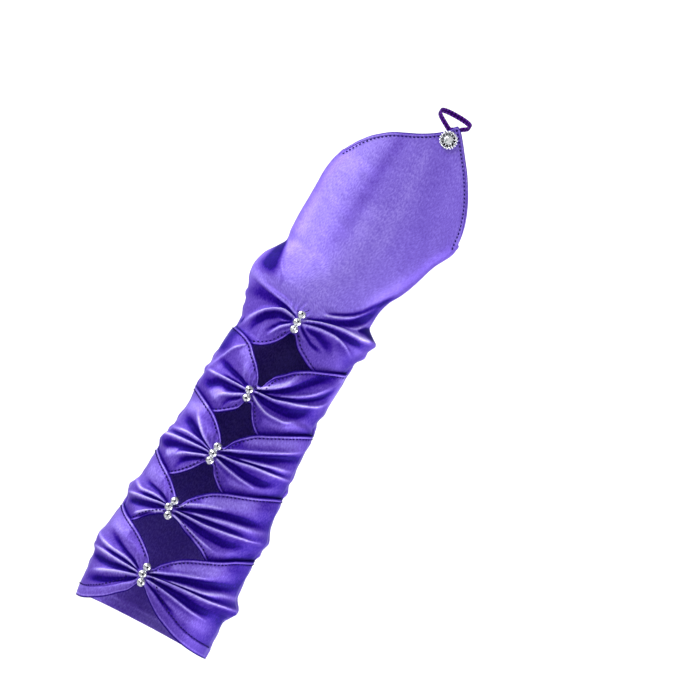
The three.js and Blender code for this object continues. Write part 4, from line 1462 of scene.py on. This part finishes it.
@dataclass
class BowBeads:
    """Round drilled beads, three or two, sewn close together on one gather."""

    number: int
    panel: Panel
    size: float = 5.0
    hole: float = 1.4
    sides: int = 36
    arc: int = 20

    def places(self) -> Array:
        """The beads' middles, resting on the gathered satin."""
        x, z = np.array(BEADS[self.number - 1]).T
        middle, side = SLEEVE.across(0.0, z), SLEEVE.across(np.pi / 2, z)
        angle = np.arcsin((x - middle) / (side - middle))
        lift = self.panel.gather.rise + CLOTH.wall + self.size / 2 - 0.5 * (np.arange(len(x)) % 2)
        middles = SLEEVE.point(angle, z, lift)
        middles[:, 0] = x
        return middles

    def build(self, silver: Material) -> Piece:
        """Make the beads: a circle's arc turned round its drilled hole, with a rounded mouth.

        Args:
            silver: their material.

        Returns:
            The piece.
        """
        radius = self.size / 2
        start = math.asin(self.hole / 2 / radius)
        turn = np.linspace(start, np.pi - start, self.arc)
        arc = np.stack([radius * np.sin(turn), -radius * np.cos(turn)], axis=1)
        bore = np.array([[self.hole * 0.42, arc[-1, 1] - 0.12], [self.hole * 0.42, arc[0, 1] + 0.12]])
        points, faces = turned(np.concatenate([arc, bore]), self.sides)
        rng = np.random.default_rng(self.number + 20)
        places = self.places()
        tips = rng.uniform((-0.15, -0.2), (0.45, 0.2), (len(places), 2))
        axes = [np.array(Matrix.Rotation(a, 3, "X") @ Matrix.Rotation(b, 3, "Z")) for a, b in tips]
        points, faces = repeat(points, faces, places, np.array(axes))
        piece = make_piece(f"bow_{self.number}_beads", points, faces[:, ::-1])
        piece.data.materials.append(silver)
        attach(piece, BODY)
        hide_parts(*(f"bow_bead_{self.number}_{j}" for j in range(1, len(places) + 1)))
        LOG.info("%s: %d beads of %.1f mm", piece.name, len(places), self.size)
        return piece


def tube(points: Array, thick: float, sides: int = 8) -> tuple[Array, Array]:
    """A round thread along points: a circle carried along the path, with its ends drawn in.

    Args:
        points: n by 3, in mm.
        thick: diameter in mm.
        sides: steps round it.

    Returns:
        Points and quads.
    """
    along = unit(np.gradient(points, axis=0))
    side = unit(np.cross(along, np.array([0.3, 1.0, 0.2])))
    up = np.cross(side, along)
    turn = np.linspace(0, 2 * np.pi, sides, endpoint=False)
    girth = np.full(len(points), thick / 2)
    girth[[0, -1]] = thick * 0.04
    ring = side[:, None] * np.cos(turn)[None, :, None] + up[:, None] * np.sin(turn)[None, :, None]
    skin = points[:, None] + girth[:, None, None] * ring
    return skin.reshape(-1, 3), grid_faces(len(points), sides, ring=True)


@dataclass
class BowThread:
    """Thread that runs through a gather's beads and round the gathered satin, with a short tail."""

    number: int
    panel: Panel
    thick: float = 0.42
    turn_reach: float = 4.4
    aside: float = 0.5
    tail: tuple[float, float] = (1.6, 4.4)

    def build(self, thread: Material) -> Piece:
        """Make the thread: turns round the gather beside the beads, knots in their holes and a tail.

        Args:
            thread: its material.

        Returns:
            The piece.
        """
        gather = self.panel.gather
        centre = SLEEVE.angle_at(gather.x, gather.z)
        lines = []
        for aside in (-self.aside, self.aside):
            z = gather.z + np.linspace(self.turn_reach, -self.turn_reach, 24)
            x = gather.x + aside + 0.25 * np.sin(z)
            angle = centre + (x - gather.x) / 30
            surface, _ = self.panel.outer(angle, z)
            surface[:, 1] -= 0.1
            lines.append(surface)
        beads = BowBeads(self.number, self.panel)
        middles, radius = beads.places(), beads.size / 2
        for middle in middles:
            reach = np.linspace(0.35 - radius, radius + 0.6, 8)
            lines.append(middle + np.stack([0.1 * np.sin(reach), reach, 0.08 * np.cos(reach * 2)], axis=1))
        start = middles[0] + np.array([0.6, -0.4, radius * 0.9])
        t = np.linspace(0, 1, 10)[:, None]
        bend = np.array([self.tail[0], 0.6, self.tail[1] - radius * 0.9])
        lines.append(start + t * bend + np.sin(t * 3.2) * np.array([0.35, -0.3, 0.0]))
        tubes = [tube(line, self.thick) for line in lines]
        piece = make_piece(f"bow_{self.number}_thread", *joined(tubes))
        piece.data.materials.append(thread)
        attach(piece, BODY)
        return piece


@dataclass
class Button:
    """A sunburst button: a ring of balls, a recess of tarnish and painted shade bridged by rays, and a cut
    stone in the middle.
    The bezel is rows of radius and depth. The stone's cut is rows of radius in stone radii, depth and
    turn in steps. Depths are in mm behind the button's front."""

    across: float = 16.7
    height: float = 97.2
    radius: float = 5.5
    balls: int = 18
    rays_round: int = 12
    facets: int = 12
    stone_radius: float = 2.7
    ray: Place = (0.8, 0.4, 0.5)
    ray_depth: float = 0.95
    bezel: Table = ((0.1, 1.5), (2.5, 1.4), (2.7, 0.6), (2.82, 0.5), (2.92, 0.7), (2.9, 2.0), (0.1, 2.2))
    cut: tuple[Place, ...] = (
        (0.5, -0.5, 0.0), (0.8, -0.1, 0.5), (1.0, 0.45, 0.0), (1.0, 0.6, 0.0), (0.45, 1.2, 0.5),
        (0.05, 1.5, 0.0),
    )
    table_painted_glints: tuple[float, ...] = (0.95, 0.8, 1.0, 0.35, 0.9, 0.85)

    def front(self) -> Array:
        """The middle of the button's front, as far forward as the CAD button's."""
        middle, size = box_middle("button_setting")
        return np.array([self.across, middle[1] - size[1] / 2, self.height])

    def build(self, silver: Material, recess: Material, glass: Material) -> None:
        """Make the setting, its recess and the stone.

        Args:
            silver: the setting's material.
            recess: the recess's material, tarnish with painted shade.
            glass: the stone's material.
        """
        place = self.front()
        sine = math.sin(math.pi / self.balls)
        ball = self.radius * sine / (1 + sine) * 1.04
        ring = self.radius - ball
        turn = np.linspace(0, 2 * np.pi, self.balls, endpoint=False) + 0.12
        places = place + np.stack([ring * np.cos(turn), 0 * turn + ball * 0.8, ring * np.sin(turn)], axis=1)
        parts = [
            repeat(*self.ball_mesh(ball, 14, 9), places, np.repeat(np.eye(3)[None], self.balls, axis=0)),
            self.lathe(self.bezel),
            self.lathe(((ring - 0.3, 1.5), (ring, 1.2), (ring + 0.4, 1.5), (ring, 2.4))),
            self.rays(ring, np.linspace(0, 2 * np.pi, self.rays_round, endpoint=False)),
        ]
        setting = make_piece("button_sunburst", *joined(parts))
        # The recess's floor: a dark sheet of tarnish and painted shade down in the groove.
        floor = ((2.6, 1.9), (ring + 0.2, 1.7), (ring, 2.5), (2.6, 2.5))
        well = make_piece("button_recess", *self.lathe(floor))
        stone = self.stone(place)
        finishes = ((setting, silver, "silver"), (well, recess, "silver"), (stone, glass, "cut_stone"))
        for piece, material, slot in finishes:
            piece.data.materials.append(material)
            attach(piece, BODY)
        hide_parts("button_setting")
        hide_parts("button_stone")
        LOG.info("button: %d balls and rays, and a stone of %d facets", self.balls, self.facets)

    def ball_mesh(self, radius: float, sides: int, rings: int) -> tuple[Array, Array]:
        """A ball: a half circle turned round the Y axis, its two poles drawn to a small closed ring."""
        turn = np.linspace(0.02, np.pi - 0.02, rings)
        profile = np.stack([radius * np.sin(turn), -radius * np.cos(turn)], axis=1)
        points, faces = turned(np.concatenate([profile, [[radius * 0.01, 0.0]]]), sides)
        return points, faces[:, ::-1]

    def lathe(self, rows: Table) -> tuple[Array, Array]:
        """A ring of radius and depth rows turned round the button's own axis."""
        points, faces = turned(np.array(rows), 56)
        return points + self.front(), faces[:, ::-1]

    def rays(self, ring: float, turn: Array) -> tuple[Array, Array]:
        """Rays across the recess: small balls drawn out along the radius."""
        reach = (self.bezel[-2][0] + ring - 0.6) / 2
        out = np.stack([reach * np.cos(turn), 0 * turn + self.ray_depth, reach * np.sin(turn)], axis=1)
        middles = self.front() + out
        out = np.stack([np.cos(turn), 0 * turn, np.sin(turn)], axis=1) * self.ray[0]
        side = np.stack([-np.sin(turn), 0 * turn, np.cos(turn)], axis=1) * self.ray[1]
        deep = np.tile(np.array([0.0, self.ray[2], 0.0]), (len(turn), 1))
        return repeat(*self.ball_mesh(1.0, 10, 7), middles, np.stack([out, deep, side], axis=1))

    def stone(self, place: Array) -> Piece:
        """A round cut: a flat table, two rows of crown facets, a thin girdle and a cone below it. Each
        row's points stand half a step round from the row before.

        Args:
            place: the middle of the button's front, in mm.

        Returns:
            The stone, with flat facets.
        """
        rows, n = self.cut, self.facets
        points = []
        for share, depth, shift in rows:
            turn = (np.arange(n) + shift) * 2 * np.pi / n
            reach = self.stone_radius * share
            ring = np.stack([reach * np.cos(turn), 0 * turn + depth, reach * np.sin(turn)], axis=1)
            points.append(place + ring)
        quads = grid_faces(len(rows), n, ring=True)
        body = np.concatenate(points)
        ends = place + np.array([[0.0, rows[0][1], 0.0], [0.0, rows[-1][1], 0.0]])
        i = np.arange(n)
        j = (i + 1) % n
        table = np.stack([np.full(n, len(body)), i, j], axis=1)
        last = (len(rows) - 1) * n
        under = np.stack([np.full(n, len(body) + 1), last + j, last + i], axis=1)
        faces = np.concatenate([quads[:, [0, 1, 2]], quads[:, [0, 2, 3]], table, under])
        piece = make_piece("cut_stone", np.concatenate([body, ends]), faces, smooth=False)
        # Painted reflections: a random glint for each facet, and the listed glints across the table.
        glint = np.random.default_rng(4).uniform(0.0, 1.0, len(faces))
        glint[2 * len(quads):2 * len(quads) + n] = np.repeat(self.table_painted_glints, n // 6)
        piece.data.attributes.new("glint", "FLOAT", "FACE").data.foreach_set("value", glint)
        return piece


@dataclass
class FingerLoop:
    """Loop of flat elastic ribbon, sewn under the point at both ends."""

    wide: float = 3.2
    thick: float = 0.8
    squareness: float = 0.8
    inset: tuple[float, float] = (0.45, 0.4)
    reach: tuple[float, float] = (0.42, 2 * math.pi + 0.14)

    def build(self, elastic: Material) -> Piece:
        """Make the ribbon: an oval path that rises to its far side, with a flat rounded section.

        Args:
            elastic: its material.

        Returns:
            The piece.
        """
        middle, size = box_middle("finger_loop")
        half_x, half_y = size[0] / 2 - self.inset[0], size[1] / 2 - self.inset[1]
        low = middle[2] - size[2] / 2 + self.wide / 2
        rise = size[2] - self.wide
        turn = np.linspace(*self.reach, 180)
        square_x = np.sign(np.sin(turn)) * np.abs(np.sin(turn)) ** self.squareness
        square_y = np.sign(np.cos(turn)) * np.abs(np.cos(turn)) ** self.squareness
        centre = np.stack([
            middle[0] + half_x * square_x, middle[1] - half_y * square_y,
            low + rise * np.abs(np.sin(turn / 2)) ** self.squareness,
        ], axis=1)
        out = unit(np.stack([np.sin(turn) / half_x, -np.cos(turn) / half_y, 0 * turn], axis=1))
        up = np.array([0.0, 0.0, 1.0])
        lap = np.linspace(0, 2 * np.pi, 20, endpoint=False)
        flat_z = np.sign(np.sin(lap)) * np.abs(np.sin(lap)) ** 0.5 * self.wide / 2
        flat_y = np.sign(np.cos(lap)) * np.abs(np.cos(lap)) ** 0.7 * self.thick / 2
        ends = np.ones(len(turn))
        ends[[0, -1]] = 0.05
        ring = out[:, None] * (flat_y * ends[:, None])[..., None] + up * (flat_z * ends[:, None])[..., None]
        points = (centre[:, None] + ring).reshape(-1, 3)
        piece = make_piece("elastic_loop", points, grid_faces(len(turn), len(lap), ring=True))
        length = run_length(centre)
        give_uv(piece, np.repeat(length, len(lap)), np.tile(flat_z, len(turn)))
        piece.data.materials.append(elastic)
        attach(piece, BODY)
        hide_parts("finger_loop")
        LOG.info("elastic_loop: %.0f mm round", length[-1])
        return piece


# Studio


@dataclass
class Studio:
    """A pale seamless sweep, soft lamps and the camera at the photograph's viewing angle."""

    aim: Place = (19.0, -20.0, -32.5)
    view_width: float = 387.6
    distance: float = 4000.0
    roll: float = math.radians(29.5)
    floor: float = -1100.0
    wall: float = 5400.0
    bend: float = 600.0
    reach: float = 9000.0
    ambient: float = 0.32

    def sweep(self) -> Piece:
        """The background: a floor that curves up into a wall, drawn as a profile carried sideways."""
        bend, back, reach = self.bend, self.wall, self.reach
        turn = np.linspace(0, np.pi / 2, 24)
        y = np.concatenate([[-reach], back - bend + bend * np.sin(turn), [back]])
        z = np.concatenate([[self.floor], self.floor + bend - bend * np.cos(turn), [reach]])
        x = np.linspace(-reach, reach, 3)
        points = np.stack([np.tile(x, len(y)), np.repeat(y, len(x)), np.repeat(z, len(x))], axis=1)
        piece = make_piece("paper_sweep", points, grid_faces(len(y), len(x)))
        piece.data.materials.append(StudioPaper().build())
        return piece

    def camera(self) -> None:
        """A long lens that looks square at the back of the glove, rolled as the photograph is."""
        data = bpy.data.cameras.new("camera")
        data.sensor_width = 36.0
        data.lens = 36.0 * self.distance / self.view_width
        data.clip_start, data.clip_end = 0.05, 30.0
        right = Vector((math.cos(self.roll), 0.0, math.sin(self.roll)))
        up = Vector((-math.sin(self.roll), 0.0, math.cos(self.roll)))
        back = right.cross(up)
        place = Vector(self.aim) * MM + back * self.distance * MM
        matrix = Matrix((right, up, back)).transposed().to_4x4()
        matrix.translation = place
        item = bpy.data.objects.new("camera", data)
        bpy.context.scene.collection.objects.link(item)
        item.matrix_world = matrix
        bpy.context.scene.camera = item

    def lamp(self, name: str, place: Place, aim: Place, size: float, power: float, colour: str) -> None:
        """A square soft lamp.

        Args:
            name: its name.
            place: where it stands, in mm.
            aim: the point it faces, in mm.
            size: its side, in mm.
            power: watts.
            colour: sRGB hex value.
        """
        data = bpy.data.lights.new(name, "AREA")
        data.shape = "SQUARE"
        data.size, data.energy, data.color = size * MM, power, srgb(colour)[:3]
        item = bpy.data.objects.new(name, data)
        bpy.context.scene.collection.objects.link(item)
        matrix = (Vector(place) - Vector(aim)).to_track_quat("Z", "Y").to_matrix().to_4x4()
        matrix.translation = Vector(place) * MM
        item.matrix_world = matrix

    def build(self) -> None:
        """Set the world, the sweep, the lamps, the camera and the view's colours."""
        world = bpy.data.worlds.new("studio")
        world.use_nodes = True
        sky = world.node_tree.nodes["Background"].inputs
        sky["Color"].default_value, sky["Strength"].default_value = srgb("FFFFFF"), self.ambient
        bpy.context.scene.world = world
        bpy.context.scene.view_settings.view_transform = "Standard"
        self.sweep()
        self.camera()
        glove = (0.0, 0.0, -60.0)
        wall, lamp_wall, behind = (0, self.wall, 0), self.wall - 1300, (0, 700, 0)
        white, cool = "FFFFFF", "F4F2FF"
        self.lamp("key", (-900, -1300, 700), glove, 600, 13, white)
        self.lamp("fill", (900, -1700, 100), glove, 900, 4.5, cool)
        self.lamp("wall_left", (-1600, lamp_wall, 600), wall, 1200, 34, white)
        self.lamp("wall_right", (1600, lamp_wall, -200), wall, 1200, 34, white)
        self.lamp("side_left", (-800, 50, 300), behind, 600, 8, white)
        self.lamp("side_right", (800, 50, -300), behind, 600, 8, white)
        self.lamp("under_left", (-1500, 1500, 500), glove, 1400, 8, white)
        self.lamp("under_right", (1500, 1500, 200), glove, 1400, 8, cool)


def edge_stitches(panel: Panel, thread: Material) -> Piece:
    """The stitch rows of one panel: along its upper edge, and along its lower hem on both sides.

    Args:
        panel: the panel.
        thread: the thread's material.

    Returns:
        The piece.
    """
    x, z = panel.gather.x, panel.gather.z
    left = SLEEVE.across(np.array(SLEEVE.little_seam), np.array(z)) + 1.5
    right = SLEEVE.across(np.array(SLEEVE.thumb_seam), np.array(z)) - 1.5
    rows = []
    if panel.lapped:
        rows.append(panel.seam_line(panel.upper_edge, CLOTH.hem, float(left), x - 1.5))
        rows.append(panel.seam_line(panel.upper_edge, CLOTH.hem, x + 1.5, float(right)))
    else:
        rows.append(panel.seam_line(panel.upper_edge, CLOTH.hem, -34.0, 51.0))
    if panel.next_upper is None:
        ends = (float(left), float(right))
    else:
        places = np.linspace(-40, 40, SEAM_PLACES)
        shown = places[curve(places, panel.lower) > curve(places, panel.next_upper) - 1.0]
        ends = (float(shown.min()), float(shown.max()))
    rows.append(panel.seam_line(panel.lower_edge, -panel.lower_hem, ends[0], x - 1.0))
    rows.append(panel.seam_line(panel.lower_edge, -panel.lower_hem, x + 1.0, ends[1]))
    return sew(panel.name.replace("satin", "stitches"), rows, thread)


def main() -> None:
    """Build the studio and each part of the glove in order."""
    Studio().build()
    satin, thread, silver = Satin().build(), Thread().build(), SilverPlate().build()
    for number, panel in enumerate(PANELS, start=1):
        cloth = panel.build(satin)
        stitches = edge_stitches(panel, thread)
        string = BowThread(number, panel).build(thread)
        beads = BowBeads(number, panel).build(silver)
    palm = PalmPanel().build(satin)
    button = Button()
    button.build(silver, Recess().build(button.front()), CutGlass().build())
    FingerLoop().build(Elastic().build())


if __name__ == "__main__":
    main()
